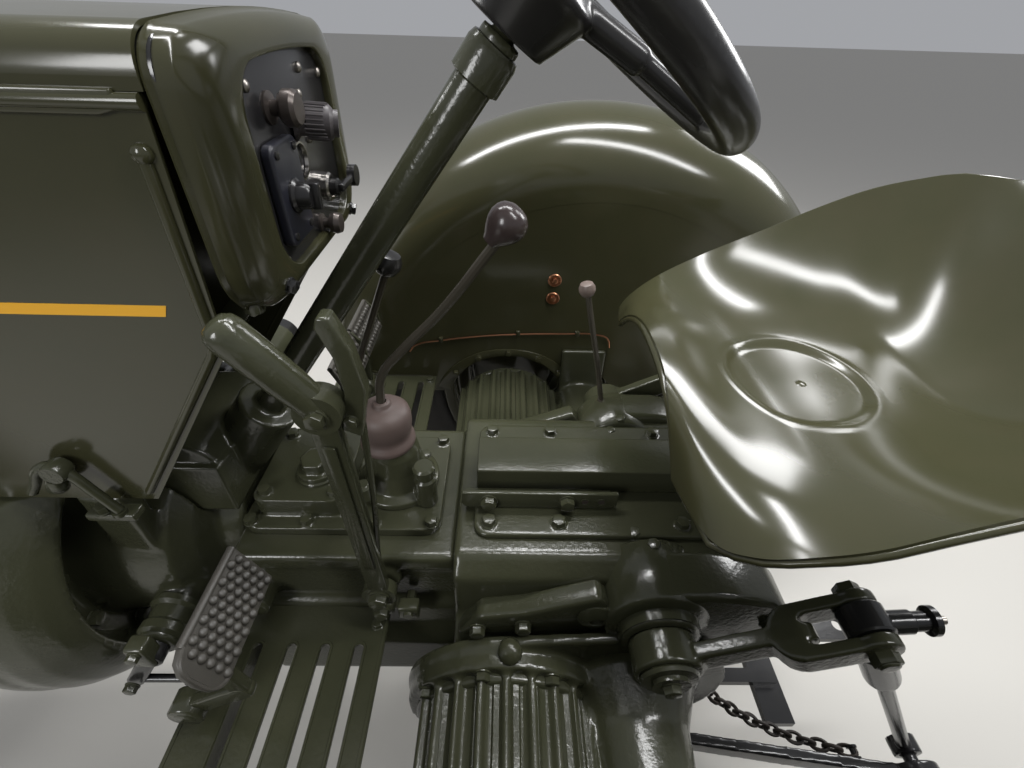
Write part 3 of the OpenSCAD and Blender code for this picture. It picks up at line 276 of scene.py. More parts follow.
@dataclass(frozen=True)
class Finish:
    """A finish of one kind of surface.

    Attributes:
        name: The material's name.
        colour: Its main colour.
        other: The colour that mottles it.
        dust: Colour of the dust on it.
        roughness: Its roughness where it is clean.
        spread: How far the roughness changes over the surface.
        metallic: 1 for bare metal.
        lump: Size of its lumps in metres.
        lump_h: Height of the lumps in metres.
        peel_h: Height of the fine orange peel in metres.
        wave_h: Height of the slow waves in metres.
        film: Amount of dust.
    """

    name: str
    colour: Colour
    other: Colour
    dust: Colour = (0.20, 0.18, 0.14)
    roughness: float = 0.3
    spread: float = 0.2
    metallic: float = 0.0
    lump: float = 0.02
    lump_h: float = 0.00004
    peel_h: float = 0.00001
    wave_h: float = 0.0
    film: float = 0.1

    def make(self) -> bpy.types.Material:
        """Builds the material.

        Returns:
            The material.
        """
        made = bpy.data.materials.new(self.name)
        made.use_nodes = True
        tree = made.node_tree
        shader = tree.nodes["Principled BSDF"]
        grain = add(tree, "Group", node_tree=bpy.data.node_groups[Group.GRAIN.value])
        for socket, value in (
            ("Lump Size", self.lump), ("Lump Height", self.lump_h),
            ("Peel Height", self.peel_h), ("Wave Height", self.wave_h),
        ):
            grain.inputs[socket].default_value = value
        film = add(tree, "Group", node_tree=bpy.data.node_groups[Group.FILM.value])
        film.inputs["Amount"].default_value = self.film
        body = add(tree, "Mix", data_type="RGBA")
        body.inputs["A"].default_value = (*self.colour, 1.0)
        body.inputs["B"].default_value = (*self.other, 1.0)
        tree.links.new(grain.outputs["Mottle"], body.inputs["Factor"])
        dusty = add(tree, "Mix", data_type="RGBA")
        dusty.inputs["B"].default_value = (*self.dust, 1.0)
        tree.links.new(body.outputs["Result"], dusty.inputs["A"])
        tree.links.new(film.outputs["Mask"], dusty.inputs["Factor"])
        tree.links.new(dusty.outputs["Result"], shader.inputs["Base Color"])
        gloss = number(tree, "MULTIPLY", grain.outputs["Mottle"], self.spread)
        gloss = number(tree, "ADD", gloss, self.roughness - self.spread * 0.5)
        gloss = number(tree, "ADD", gloss, number(tree, "MULTIPLY", film.outputs["Mask"], 0.6), clamp=True)
        tree.links.new(gloss, shader.inputs["Roughness"])
        shader.inputs["Metallic"].default_value = self.metallic
        bump = add(tree, "Bump", in_Strength=1.0, in_Distance=1.0)
        tree.links.new(grain.outputs["Height"], bump.inputs["Height"])
        tree.links.new(bump.outputs["Normal"], shader.inputs["Normal"])
        return made


@dataclass(frozen=True)
class Glass:
    """Clear glass, with its values plain on the shader.

    Attributes:
        name: The material's name.
        colour: Its colour.
        roughness: Its roughness.
    """

    name: str = "lamp_lens"
    colour: Colour = (0.92, 0.95, 0.96)
    roughness: float = 0.04

    def make(self) -> bpy.types.Material:
        """Builds the material.

        Returns:
            The material.
        """
        made = bpy.data.materials.new(self.name)
        made.use_nodes = True
        tree = made.node_tree
        shader = tree.nodes["Principled BSDF"]
        shader.inputs["Base Color"].default_value = (*self.colour, 1.0)
        shader.inputs["Roughness"].default_value = self.roughness
        shader.inputs["Transmission Weight"].default_value = 1.0
        shader.inputs["IOR"].default_value = 1.46
        return made


OLIVE: Colour = (0.034, 0.036, 0.017)
OLIVE_WARM: Colour = (0.043, 0.040, 0.020)
FINISHES: dict[str, Finish | Glass] = {
    "sheet": Finish("enamel_on_sheet", OLIVE, OLIVE_WARM, roughness=0.16, spread=0.06, lump_h=0.00001,
                    peel_h=0.000004, wave_h=0.0015, film=0.05),
    "cast": Finish("enamel_on_castings", (0.033, 0.036, 0.020), (0.044, 0.045, 0.026), roughness=0.19, spread=0.1,
                   lump=0.006, lump_h=0.00032, peel_h=0.00003, wave_h=0.0006, film=0.08),
    "black": Finish("gloss_black", (0.012, 0.012, 0.013), (0.02, 0.02, 0.02), roughness=0.18, spread=0.08,
                    lump=0.008, lump_h=0.0001, film=0.06),
    "dash": Finish("satin_black", (0.012, 0.012, 0.013), (0.020, 0.019, 0.020), roughness=0.22, spread=0.1,
                   lump=0.01, lump_h=0.00002),
    "rim": Finish("black_hard_rubber", (0.011, 0.011, 0.012), (0.02, 0.019, 0.018), roughness=0.24, spread=0.14,
                  film=0.06),
    "knob": Finish("brown_plastic", (0.050, 0.036, 0.034), (0.026, 0.019, 0.019), roughness=0.22, spread=0.16,
                   lump=0.015, lump_h=0.00006),
    "boot": Finish("aged_rubber", (0.115, 0.080, 0.070), (0.080, 0.058, 0.052), roughness=0.5, lump=0.012,
                   lump_h=0.0002, peel_h=0.00003, film=0.3),
    "rubber": Finish("pad_rubber", (0.045, 0.042, 0.036), (0.06, 0.056, 0.048), roughness=0.42, spread=0.15,
                     lump=0.004, lump_h=0.00012, peel_h=0.00002, film=0.35),
    "tyre": Finish("tyre_rubber", (0.014, 0.014, 0.014), (0.024, 0.023, 0.022), roughness=0.62, spread=0.15,
                   lump=0.003, lump_h=0.0001, peel_h=0.00003, film=0.45),
    "steel": Finish("worn_steel", (0.42, 0.40, 0.37), (0.22, 0.19, 0.16), roughness=0.34, spread=0.25, metallic=1.0,
                    lump=0.003, lump_h=0.00005, film=0.2),
    "chrome": Finish("dull_chrome", (0.55, 0.53, 0.50), (0.38, 0.35, 0.32), roughness=0.2, spread=0.12,
                     metallic=1.0, lump=0.01, lump_h=0.00002, peel_h=0.000004),
    "copper": Finish("copper", (0.62, 0.28, 0.15), (0.42, 0.20, 0.12), spread=0.15, metallic=1.0, lump=0.006,
                     film=0.05),
    # This black is also the painted shade on the discs in the small holes of the seat pan and the seat slide.
    "heat": Finish("heat_proof_black", (0.02, 0.018, 0.016), (0.045, 0.032, 0.024), roughness=0.62, lump=0.004,
                   lump_h=0.0001, peel_h=0.00002, film=0.2),
    "fins": Finish("core_black", (0.012, 0.012, 0.012), (0.02, 0.02, 0.02), roughness=0.5, lump=0.004,
                   lump_h=0.0002, peel_h=0.00002, film=0.3),
    "stripe": Finish("yellow_line", (0.82, 0.42, 0.01), (0.78, 0.38, 0.01), spread=0.06, lump_h=0.00001,
                     peel_h=0.000004, film=0.04),
    "dial": Finish("dial_black", (0.02, 0.02, 0.024), (0.03, 0.03, 0.034), roughness=0.1, spread=0.04, lump_h=0.0,
                   peel_h=0.0, film=0.02),
    "plate": Finish("blue_black", (0.012, 0.013, 0.021), (0.019, 0.020, 0.029), spread=0.12, lump=0.006),
    "steel_dark": Finish("dull_steel", (0.12, 0.10, 0.09), (0.07, 0.06, 0.055), metallic=0.6, lump=0.004,
                         film=0.15),
    "cap": Finish("grey_brown_plastic", (0.075, 0.066, 0.070), (0.055, 0.048, 0.050), roughness=0.42, spread=0.15,
                  lump=0.003, lump_h=0.00006, peel_h=0.00002, film=0.2),
    "grip": Finish("worn_grey_plastic", (0.17, 0.13, 0.11), (0.11, 0.085, 0.075), roughness=0.34, lump=0.01,
                   lump_h=0.00005, film=0.15),
    "lever": Finish("worn_painted_steel", (0.085, 0.072, 0.058), (0.052, 0.050, 0.036), roughness=0.22, spread=0.16,
                    metallic=0.35, lump=0.008, lump_h=0.00006),
    "lens": Glass(),
}


class Paintshop:
    """Holds the finishes and puts them on pieces."""

    def __init__(self) -> None:
        """Builds the shared groups and each material once."""
        build_grain_group()
        build_film_group()
        self.made: dict[str, bpy.types.Material] = {k: f.make() for k, f in FINISHES.items()}

    def coat(self, piece: bpy.types.Object, finish: str) -> None:
        """Gives a piece one finish all over.

        Args:
            piece: The piece.
            finish: Key of the finish.
        """
        piece.data.materials.clear()
        piece.data.materials.append(self.made[finish])
        for face in piece.data.polygons:
            face.material_index = 0


# Mesh work


def link(name: str, data: bpy.types.ID) -> bpy.types.Object:
    """Makes an object of some data, links it into the scene and gives it back."""
    made = bpy.data.objects.new(name, data)
    bpy.context.scene.collection.objects.link(made)
    return made


def settled(piece: bpy.types.Object) -> bpy.types.Mesh:
    """Gives the mesh that an object's curve or modifiers make."""
    return bpy.data.meshes.new_from_object(piece.evaluated_get(bpy.context.evaluated_depsgraph_get()))


def thicken(piece: bpy.types.Object, thickness: float, offset: float = -1.0) -> None:
    """Gives a sheet its wall.

    Args:
        piece: The sheet.
        thickness: The wall's thickness in millimetres.
        offset: -1 to grow it against the faces' direction, 1 along it.
    """
    wall = piece.modifiers.new("wall", "SOLIDIFY")
    wall.thickness = thickness * MM
    wall.offset = offset


def round_off_edges(bm: bmesh.types.BMesh, edges: list[bmesh.types.BMEdge], width: float, segments: int) -> None:
    """Rounds edges.

    Args:
        bm: Their mesh.
        edges: The edges.
        width: Width of the rounding in metres.
        segments: Faces across the rounding.
    """
    bmesh.ops.bevel(bm, geom=edges, offset=width, offset_type="OFFSET", segments=segments,
                    profile=0.5, affect="EDGES", material=-1, clamp_overlap=True)


def hang(name: str, bm: bmesh.types.BMesh, sharp: float = 32.0) -> bpy.types.Object:
    """Turns a bmesh into a scene object with smooth faces and sharp edges.

    Args:
        name: The piece's name.
        bm: The mesh, which is freed.
        sharp: Angle in degrees above which an edge stays sharp.

    Returns:
        The object.
    """
    bmesh.ops.remove_doubles(bm, verts=bm.verts, dist=1e-6)
    bmesh.ops.recalc_face_normals(bm, faces=bm.faces)
    for face in bm.faces:
        face.smooth = True
    for edge in bm.edges:
        edge.smooth = len(edge.link_faces) == 2 and edge.calc_face_angle(0.0) < math.radians(sharp)
    mesh = bpy.data.meshes.new(name)
    bm.to_mesh(mesh)
    bm.free()
    return link(name, mesh)


def add_lathe(bm: bmesh.types.BMesh, profile: Sequence[Flat], at: Vector, axis: Sequence[float],
              steps: int) -> None:
    """Spins a profile round an axis.

    Args:
        bm: The mesh that gets the shape.
        profile: Radius and height pairs in millimetres, from one end to the other.
        at: Where height 0 lies.
        axis: Direction of the heights.
        steps: Faces round the axis.
    """
    before = set(bm.verts)
    verts = [bm.verts.new((r * MM, 0.0, h * MM)) for r, h in profile]
    edges = [bm.edges.new(pair) for pair in zip(verts, verts[1:])]
    bmesh.ops.spin(bm, geom=[*verts, *edges], cent=(0, 0, 0), axis=UP, dvec=(0, 0, 0),
                   angle=math.tau, steps=steps, use_merge=True, use_duplicate=False)
    fresh = [v for v in bm.verts if v not in before]
    bmesh.ops.remove_doubles(bm, verts=fresh, dist=1e-7)
    fresh = [v for v in bm.verts if v not in before]
    bmesh.ops.transform(bm, matrix=Matrix.Translation(at) @ turned(axis), verts=fresh)


def add_box(bm: bmesh.types.BMesh, low: Vector, high: Vector, round_off: float) -> None:
    """Adds a box with rounded edges.

    Args:
        bm: The mesh that gets the box.
        low: Its lowest corner.
        high: Its highest corner.
        round_off: Width of the rounding in metres.
    """
    made = bmesh.ops.create_cube(bm, size=1.0)["verts"]
    size = high - low
    bmesh.ops.transform(bm, matrix=Matrix.Translation((low + high) / 2) @ Matrix.Diagonal((*size, 1.0)), verts=made)
    round_off_edges(bm, list({e for v in made for e in v.link_edges}), round_off, 3)


def add_slab(bm: bmesh.types.BMesh, outline: Sequence[Vector], push: Vector, round_off: float = 0.0,
             segments: int = 2) -> None:
    """Adds a flat outline pushed to a thickness.

    Args:
        bm: The mesh that gets the slab.
        outline: Its corners in order, all in one plane.
        push: The thickness as a vector.
        round_off: Width of the rounding in metres.
        segments: Faces across the rounding.
    """
    before = set(bm.verts)
    face = bm.faces.new([bm.verts.new(p) for p in outline])
    moved = bmesh.ops.extrude_face_region(bm, geom=[face])["geom"]
    bmesh.ops.translate(bm, vec=push, verts=[g for g in moved if isinstance(g, bmesh.types.BMVert)])
    if round_off > 0:
        faces = {f for v in bm.verts if v not in before for f in v.link_faces}
        edges = [e for e in {e for f in faces for e in f.edges} if e.calc_face_angle(0.0) > math.radians(40)]
        round_off_edges(bm, edges, round_off, segments)


def add_tube(bm: bmesh.types.BMesh, path: Sequence[Vector], radius: float, sides: int = 12,
             smooth: bool = True) -> None:
    """Adds a round bar along a path.

    Args:
        bm: The mesh that gets the bar.
        path: The points that it follows, in metres.
        radius: Its radius in metres.
        sides: Faces round it.
        smooth: True for a bar that bends smoothly through the points.
    """
    curve = bpy.data.curves.new("path", "CURVE")
    curve.dimensions = "3D"
    curve.bevel_depth = radius
    curve.bevel_resolution = max(1, sides // 4 - 1)
    curve.use_fill_caps = True
    curve.resolution_u = 8
    if smooth:
        line = curve.splines.new("BEZIER")
        line.bezier_points.add(len(path) - 1)
        for point, place in zip(line.bezier_points, path):
            point.co = place
            point.handle_left_type = point.handle_right_type = "AUTO"
    else:
        line = curve.splines.new("POLY")
        line.points.add(len(path) - 1)
        for point, place in zip(line.points, path):
            point.co = (*place, 1.0)
    holder = link("path", curve)
    mesh = settled(holder)
    bm.from_mesh(mesh)
    bpy.data.objects.remove(holder)
    bpy.data.meshes.remove(mesh)
    bpy.data.curves.remove(curve)


def add_bolt(bm: bmesh.types.BMesh, at: Vector, axis: Sequence[float], across: float = 15.0,
             height: float = 7.0, washer: bool = True, spin: float = 0.0) -> None:
    """Adds a hexagonal head with a chamfer, on a washer.

    Args:
        bm: The mesh that gets the bolt.
        at: Where it sits on its surface.
        axis: Direction out of the surface.
        across: Width over the flats in millimetres.
        height: Height of the head in millimetres.
        washer: True to add a washer.
        spin: Turn of the head in degrees.
    """
    base = 0.0
    if washer:
        r = across * 0.66
        add_lathe(bm, [(0, 0), (r, 0), (r, 1.4), (r - 0.8, 2.0), (0, 2.0)], at, axis, 20)
        base = 2.0
    before = set(bm.verts)
    corner = across / math.sqrt(3)
    bmesh.ops.create_cone(bm, cap_ends=True, segments=6, radius1=corner * MM, radius2=corner * MM,
                          depth=height * MM)
    fresh = [v for v in bm.verts if v not in before]
    top = [e for e in {e for v in fresh for e in v.link_edges} if all(v.co.z > 0 for v in e.verts)]
    round_off_edges(bm, top, across * 0.09 * MM, 2)
    fresh = [v for v in bm.verts if v not in before]
    place = (Matrix.Translation(at) @ turned(axis) @ Matrix.Rotation(math.radians(spin), 4, "Z")
             @ Matrix.Translation((0, 0, (base + height / 2) * MM)))
    bmesh.ops.transform(bm, matrix=place, verts=fresh)


def on_arc(x: float, z: float, radius: float, angle: float) -> Flat:
    """Gives the point of a circle at an angle in degrees, from its middle and radius."""
    a = math.radians(angle)
    return (x + radius * math.cos(a), z + radius * math.sin(a))


def ring_of(count: int, radius: float, start: float = 0.0) -> list[tuple[float, float, float]]:
    """Gives evenly spaced places on a circle.

    Args:
        count: How many.
        radius: The circle's radius.
        start: Angle of the first in degrees.

    Returns:
        For each place its two coordinates and its angle.
    """
    angles = [start + 360 / count * k for k in range(count)]
    return [(*on_arc(0, 0, radius, a), a) for a in angles]


def rounded_outline(half: float, low: float, high: float, low_r: float, high_r: float, sag: float) -> list[Flat]:
    """Gives an upright outline with rounded corners.

    Args:
        half: Half of its width.
        low: Its lowest height.
        high: Its highest height.
        low_r: Radius of the lower corners.
        high_r: Radius of the upper corners.
        sag: How far the top drops from its middle to its corners.

    Returns:
        The outline as y and z, with the same number of points for any size.
    """
    line: list[Flat] = []
    per = 10
    for cy, cz, r, start in (
        (half - low_r, low + low_r, low_r, -90), (half - high_r, high - sag - high_r, high_r, 0),
        (-half + high_r, high - sag - high_r, high_r, 90), (-half + low_r, low + low_r, low_r, 180),
    ):
        line += [on_arc(cy, cz, r, start + 90 * k / per) for k in range(per + 1)]
        if start == 0:
            line += [((half - high_r) * (1 - 2 * k / 12), high - sag * (1 - 2 * k / 12) ** 2)
                     for k in range(1, 12)]
    return line


def add_loft(bm: bmesh.types.BMesh, rings: Sequence[Sequence[Point]], closed: bool = True) -> None:
    """Pulls a line of points through further lines of the same length.

    Args:
        bm: The mesh that gets the skin.
        rings: Lines of points in millimetres from the rear axle.
        closed: True where each line runs back to its start.
    """
    row = [bm.verts.new(spot(*p)) for p in rings[0]]
    pairs = list(zip(row, row[1:])) + ([(row[-1], row[0])] if closed else [])
    lines = [bm.edges.new(pair) for pair in pairs]
    for ring in rings[1:]:
        old = set(row)
        fresh = bmesh.ops.extrude_edge_only(bm, edges=lines)["geom"]
        edges = [g for g in fresh if isinstance(g, bmesh.types.BMEdge)]
        across = {v: e.other_vert(v) for v in row for e in v.link_edges
                  if e.other_vert(v) not in old and e.other_vert(v) in set(fresh)}
        row = [across[v] for v in row]
        for vert, place in zip(row, ring):
            vert.co = spot(*place)
        now = set(row)
        lines = [e for e in edges if all(v in now for v in e.verts)]


def blend_rows(table: Sequence[Sequence[float]], x: float, column: int) -> float:
    """Reads a table with smooth changes between its rows.

    Args:
        table: Rows that start with their station.
        x: The station wanted.
        column: The column read.

    Returns:
        The value there.
    """
    k = max(0, min(len(table) - 2, sum(1 for row in table[1:-1] if row[0] <= x)))
    a, b = table[k], table[k + 1]
    span = b[0] - a[0]
    t = min(1.0, max(0.0, (x - a[0]) / span))
    before = table[max(0, k - 1)]
    after = table[min(len(table) - 1, k + 2)]
    rise = (b[column] - a[column]) / span
    in_rise = rise if before is a else (a[column] - before[column]) / (a[0] - before[0])
    out_rise = rise if after is b else (after[column] - b[column]) / (after[0] - b[0])
    m0, m1 = (rise + in_rise) / 2 * span, (rise + out_rise) / 2 * span
    if rise * in_rise <= 0:
        m0 = 0.0
    if rise * out_rise <= 0:
        m1 = 0.0
    return ((2 * t ** 3 - 3 * t ** 2 + 1) * a[column] + (t ** 3 - 2 * t ** 2 + t) * m0
            + (3 * t ** 2 - 2 * t ** 3) * b[column] + (t ** 3 - t ** 2) * m1)


@dataclass
class Assembly:
    """A part of the tractor's looks, which makes, coats and places its pieces.

    Attributes:
        paint: The finishes.
    """

    frame: dict
    paint: Paintshop

    def build(self) -> None:
        """Builds the pieces. Each kind of assembly has its own."""
        raise NotImplementedError

    def put(self, name: str, bm: bmesh.types.BMesh, finish: str, body: str = CHASSIS,
            stands_for: Sequence[str] = (), sharp: float = 32.0) -> bpy.types.Object:
        """Finishes a mesh as a piece of the tractor.

        Args:
            name: The piece's name.
            bm: Its mesh.
            finish: Key of its finish.
            body: The body that it rides on, or nothing for a piece left without one.
            stands_for: Nodes that it replaces.
            sharp: Angle in degrees above which an edge stays sharp.

        Returns:
            The piece.
        """
        piece = hang(name, bm, sharp)
        self.paint.coat(piece, finish)
        if body:
            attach(piece, body)
        if stands_for:
            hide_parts(*stands_for)
        log.info("piece %s, %d faces", name, len(piece.data.polygons))
        return piece

    def soften(self, node: str, finish: str, voxel: float, passes: int = 6, keep: float = 0.34,
               body: str = CHASSIS) -> None:
        """Replaces a node by a copy with the rounded edges of a casting.

        Args:
            node: The node's name.
            finish: Key of its finish.
            voxel: Size of the steps of the new surface in millimetres.
            passes: How often it is smoothed.
            keep: Share of the faces that stay.
            body: The body that it rides on.
        """
        bm = bmesh.new()
        bm.from_mesh(self.frame["nodes"][node].data)
        bmesh.ops.remove_doubles(bm, verts=bm.verts, dist=2e-6)
        bmesh.ops.recalc_face_normals(bm, faces=bm.faces)
        mesh = bpy.data.meshes.new(node)
        bm.to_mesh(mesh)
        bm.free()
        piece = link("cast_" + node, mesh)
        skin = piece.modifiers.new("skin", "REMESH")
        skin.mode = "VOXEL"
        skin.voxel_size = voxel * MM
        ease = piece.modifiers.new("ease", "SMOOTH")
        ease.factor = 0.5
        ease.iterations = passes
        thin = piece.modifiers.new("thin", "DECIMATE")
        thin.ratio = keep
        done = settled(piece)
        piece.modifiers.clear()
        piece.data = done
        for face in done.polygons:
            face.use_smooth = True
        self.paint.coat(piece, finish)
        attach(piece, body)
        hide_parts(node)
        log.info("cast %s, %d faces", node, len(done.polygons))


# Studio


@dataclass
class Studio:
    """Camera at the photograph's place, pale floor and soft light.

    Attributes:
        eye: The camera's place in metres.
        pitch: How far it looks down, in degrees.
        yaw: How far it looks to the rear of the machine, in degrees.
        roll: Its tilt in degrees.
        lens: Focal length in millimetres on a 36 mm sensor.
        floor: The floor's colour.
        sky: Colour of the even light.
        sky_power: Its strength.
    """

    eye: Point = (0.477, -0.47, 1.317)
    pitch: float = 38.2
    yaw: float = 1.3
    roll: float = 1.8
    lens: float = 16.875
    floor: Colour = (0.50, 0.485, 0.45)
    sky: Colour = (0.93, 0.95, 1.0)
    sky_power: float = 0.38

    def build(self) -> None:
        """Builds the camera, the floor and the lamps."""
        self.place_camera()
        self.lay_floor()
        self.hang_lamps()
        bpy.context.scene.view_settings.view_transform = "Standard"

    def place_camera(self) -> None:
        """Places the camera."""
        camera = bpy.data.cameras.new("camera")
        camera.lens = self.lens
        camera.sensor_width = 36.0
        camera.clip_start = 0.02
        holder = link("camera", camera)
        down, turn, tilt = (math.radians(a) for a in (self.pitch, self.yaw, self.roll))
        ahead = Vector((math.sin(turn) * math.cos(down), math.cos(turn) * math.cos(down), -math.sin(down)))
        side = ahead.cross(Vector(UP)).normalized()
        up = side.cross(ahead)
        right = side * math.cos(tilt) + up * math.sin(tilt)
        top = up * math.cos(tilt) - side * math.sin(tilt)
        basis = Matrix((right, top, -ahead)).transposed()
        holder.matrix_world = Matrix.Translation(self.eye) @ basis.to_4x4()
        bpy.context.scene.camera = holder

    def lay_floor(self) -> None:
        """Lays a wide pale floor."""
        bm = bmesh.new()
        bmesh.ops.create_grid(bm, x_segments=1, y_segments=1, size=30.0)
        bmesh.ops.translate(bm, vec=(0, 0, -0.0015), verts=bm.verts)
        floor = hang("studio_floor", bm)
        coat = bpy.data.materials.new("studio_floor")
        coat.use_nodes = True
        shader = coat.node_tree.nodes["Principled BSDF"]
        shader.inputs["Base Color"].default_value = (*self.floor, 1.0)
        shader.inputs["Roughness"].default_value = 0.7
        floor.data.materials.append(coat)

    def hang_lamps(self) -> None:
        """Hangs soft lamps and sets the even light round the machine."""
        for name, place, aim, size, power in (
            ("lamp_over", (0.2, 0.9, 3.2), (0.3, 0.0, 0.5), (2.8, 0.22), 74.0),
            ("lamp_over_rear", (1.4, -0.3, 3.0), (0.7, 0.0, 0.6), (0.22, 2.2), 46.0),
            ("lamp_left", (-1.6, -3.0, 2.6), (0.2, 0.0, 0.7), (0.9, 1.6), 62.0),
            ("lamp_back", (2.8, 1.8, 2.4), (0.4, 0.1, 0.6), (0.8, 1.6), 54.0),
            ("lamp_front", (-3.2, 1.2, 2.2), (-0.4, 0.0, 0.7), (0.9, 1.6), 54.0),
        ):
            light = bpy.data.lights.new(name, "AREA")
            light.shape = "RECTANGLE"
            light.size, light.size_y = size
            light.energy = power
            holder = link(name, light)
            look = Vector(aim) - Vector(place)
            holder.matrix_world = Matrix.Translation(place) @ look.to_track_quat("-Z", "Y").to_matrix().to_4x4()
        world = bpy.data.worlds.new("studio")
        world.use_nodes = True
        glow = world.node_tree.nodes["Background"].inputs
        glow["Color"].default_value = (*self.sky, 1.0)
        glow["Strength"].default_value = self.sky_power
        bpy.context.scene.world = world


# Sub-assemblies


@dataclass
class SeatPan(Assembly):
    """Pressed seat pan with a rolled rim and a round recess over its spring.

    Attributes:
        front: Station of its front edge.
        length: Its length.
        rows: Station, half width, height in the middle and height at the rim.
        floor_z: Height of the flat floor.
        dish: Middle of the recess.
        dish_r: Radius of the recess.
    """

    front: float = -6.0
    length: float = 474.0
    rows: tuple[tuple[float, ...], ...] = (
        (0, 150, 1009, 950), (12, 208, 1003, 940), (36, 238, 992, 950), (78, 256, 972, 974),
        (135, 264, 957, 1004), (145, 264, 955, 1010), (240, 264, 955, 1058), (300, 262, 958, 1090),
        (360, 254, 968, 1120), (410, 236, 1008, 1140), (446, 204, 1070, 1156), (474, 140, 1134, 1162),
    )
    floor_z: float = 955.0
    dish: Flat = (183.0, 0.0)
    dish_r: float = 82.0

    def point(self, s: float, t: float) -> Point:
        """Gives a point of the pan's upper side.

        Args:
            s: Distance from the front edge.
            t: Place across, from -1 to 1.

        Returns:
            The point in millimetres.
        """
        half = blend_rows(self.rows, s, 1)
        mid = blend_rows(self.rows, s, 2)
        rim = blend_rows(self.rows, s, 3)
        return (self.front + s, t * half, mid + (rim - mid) * abs(t) ** 2.6)

    def build(self) -> None:
        """Builds the pan, its rolled rim and its fastenings."""
        count, across = 30, 26
        stations = [self.length * (k / count) ** 1.12 for k in range(count + 1)]
        bm = bmesh.new()
        add_loft(bm, [[self.point(s, 2 * j / across - 1) for j in range(across + 1)] for s in stations], closed=False)
        for face in bm.faces:
            face.smooth = True
        mesh = bpy.data.meshes.new("seat")
        bm.to_mesh(mesh)
        bm.free()
        holder = link("seat", mesh)
        fine = holder.modifiers.new("fine", "SUBSURF")
        fine.levels = fine.render_levels = 2
        fine.boundary_smooth = "PRESERVE_CORNERS"
        bm = bmesh.new()
        bm.from_mesh(settled(holder))
        bpy.data.objects.remove(holder)
        centre = spot(*self.dish, self.floor_z)
        for vert in bm.verts:
            away = math.hypot(vert.co.x - centre.x, vert.co.y - centre.y) / MM
            step = min(1.0, max(0.0, (self.dish_r + 5 - away) / 10))
            vert.co.z -= 3.2 * MM * step * step * (3 - 2 * step)
            ridge = max(0.0, 1 - abs(away - self.dish_r - 8) / 7)
            vert.co.z += 0.9 * MM * ridge * ridge * (3 - 2 * ridge)
        pan = self.put("seat_pan_sheet", bm, "sheet", stands_for=("seat_pan",), sharp=50.0)
        thicken(pan, 4)
        self.roll_rim(count)
        self.add_fastenings()

    def roll_rim(self, count: int) -> None:
        """Rolls the edge of the pan.

        Args:
            count: Points along each side.
        """
        bm = bmesh.new()
        line = [self.point(self.length * k / count, -1) for k in range(count + 1)]
        line += [self.point(self.length, 2 * j / 12 - 1) for j in range(1, 13)]
        line += [self.point(self.length * k / count, 1) for k in range(count - 1, -1, -1)]
        line += [self.point(0, 1 - 2 * j / 16) for j in range(1, 16)]
        path = [spot(x, y, z - 3) for x, y, z in line]
        add_tube(bm, [*path, path[0]], 4.2 * MM, 12, smooth=False)
        self.put("seat_rim_roll", bm, "sheet", sharp=60.0)

    def add_fastenings(self) -> None:
        """Adds the round head in the recess, a dark disc of painted shade in the small hole, and the cup below the
        pan.
        """
        bm = bmesh.new()
        x, y = self.dish
        add_lathe(bm, [(13, -1), (12.5, 1.5), (9, 4.2), (4, 5.6), (0, 6)], spot(x + 8, y, self.floor_z - 4),
                  UP, 28)
        add_lathe(bm, [(5, -0.6), (7.2, 0.4), (8.6, -0.4)], spot(290, -10, self.floor_z + 2.6), (0.06, 0, 1), 24)
        self.put("seat_rivet", bm, "sheet")
        # A dark disc inside the small hole's rim is painted shade, standing for the dark seen through the hole.
        bm = bmesh.new()
        add_lathe(bm, [(0, -0.2), (5.4, -0.2), (5.4, 0.6), (0, 0.6)], spot(290, -10, self.floor_z + 2.4),
                  (0.06, 0, 1), 20)
        self.put("seat_drain_plug", bm, "heat")
        bm = bmesh.new()
        base = spot(187, 0, self.floor_z - 46)
        add_lathe(bm, [(30, 0), (52, 4), (60, 14), (60, 22), (66, 30), (62, 38), (70, 41.5), (0, 41.5)],
                  base, UP, 40)
        self.put("seat_cup", bm, "cast")


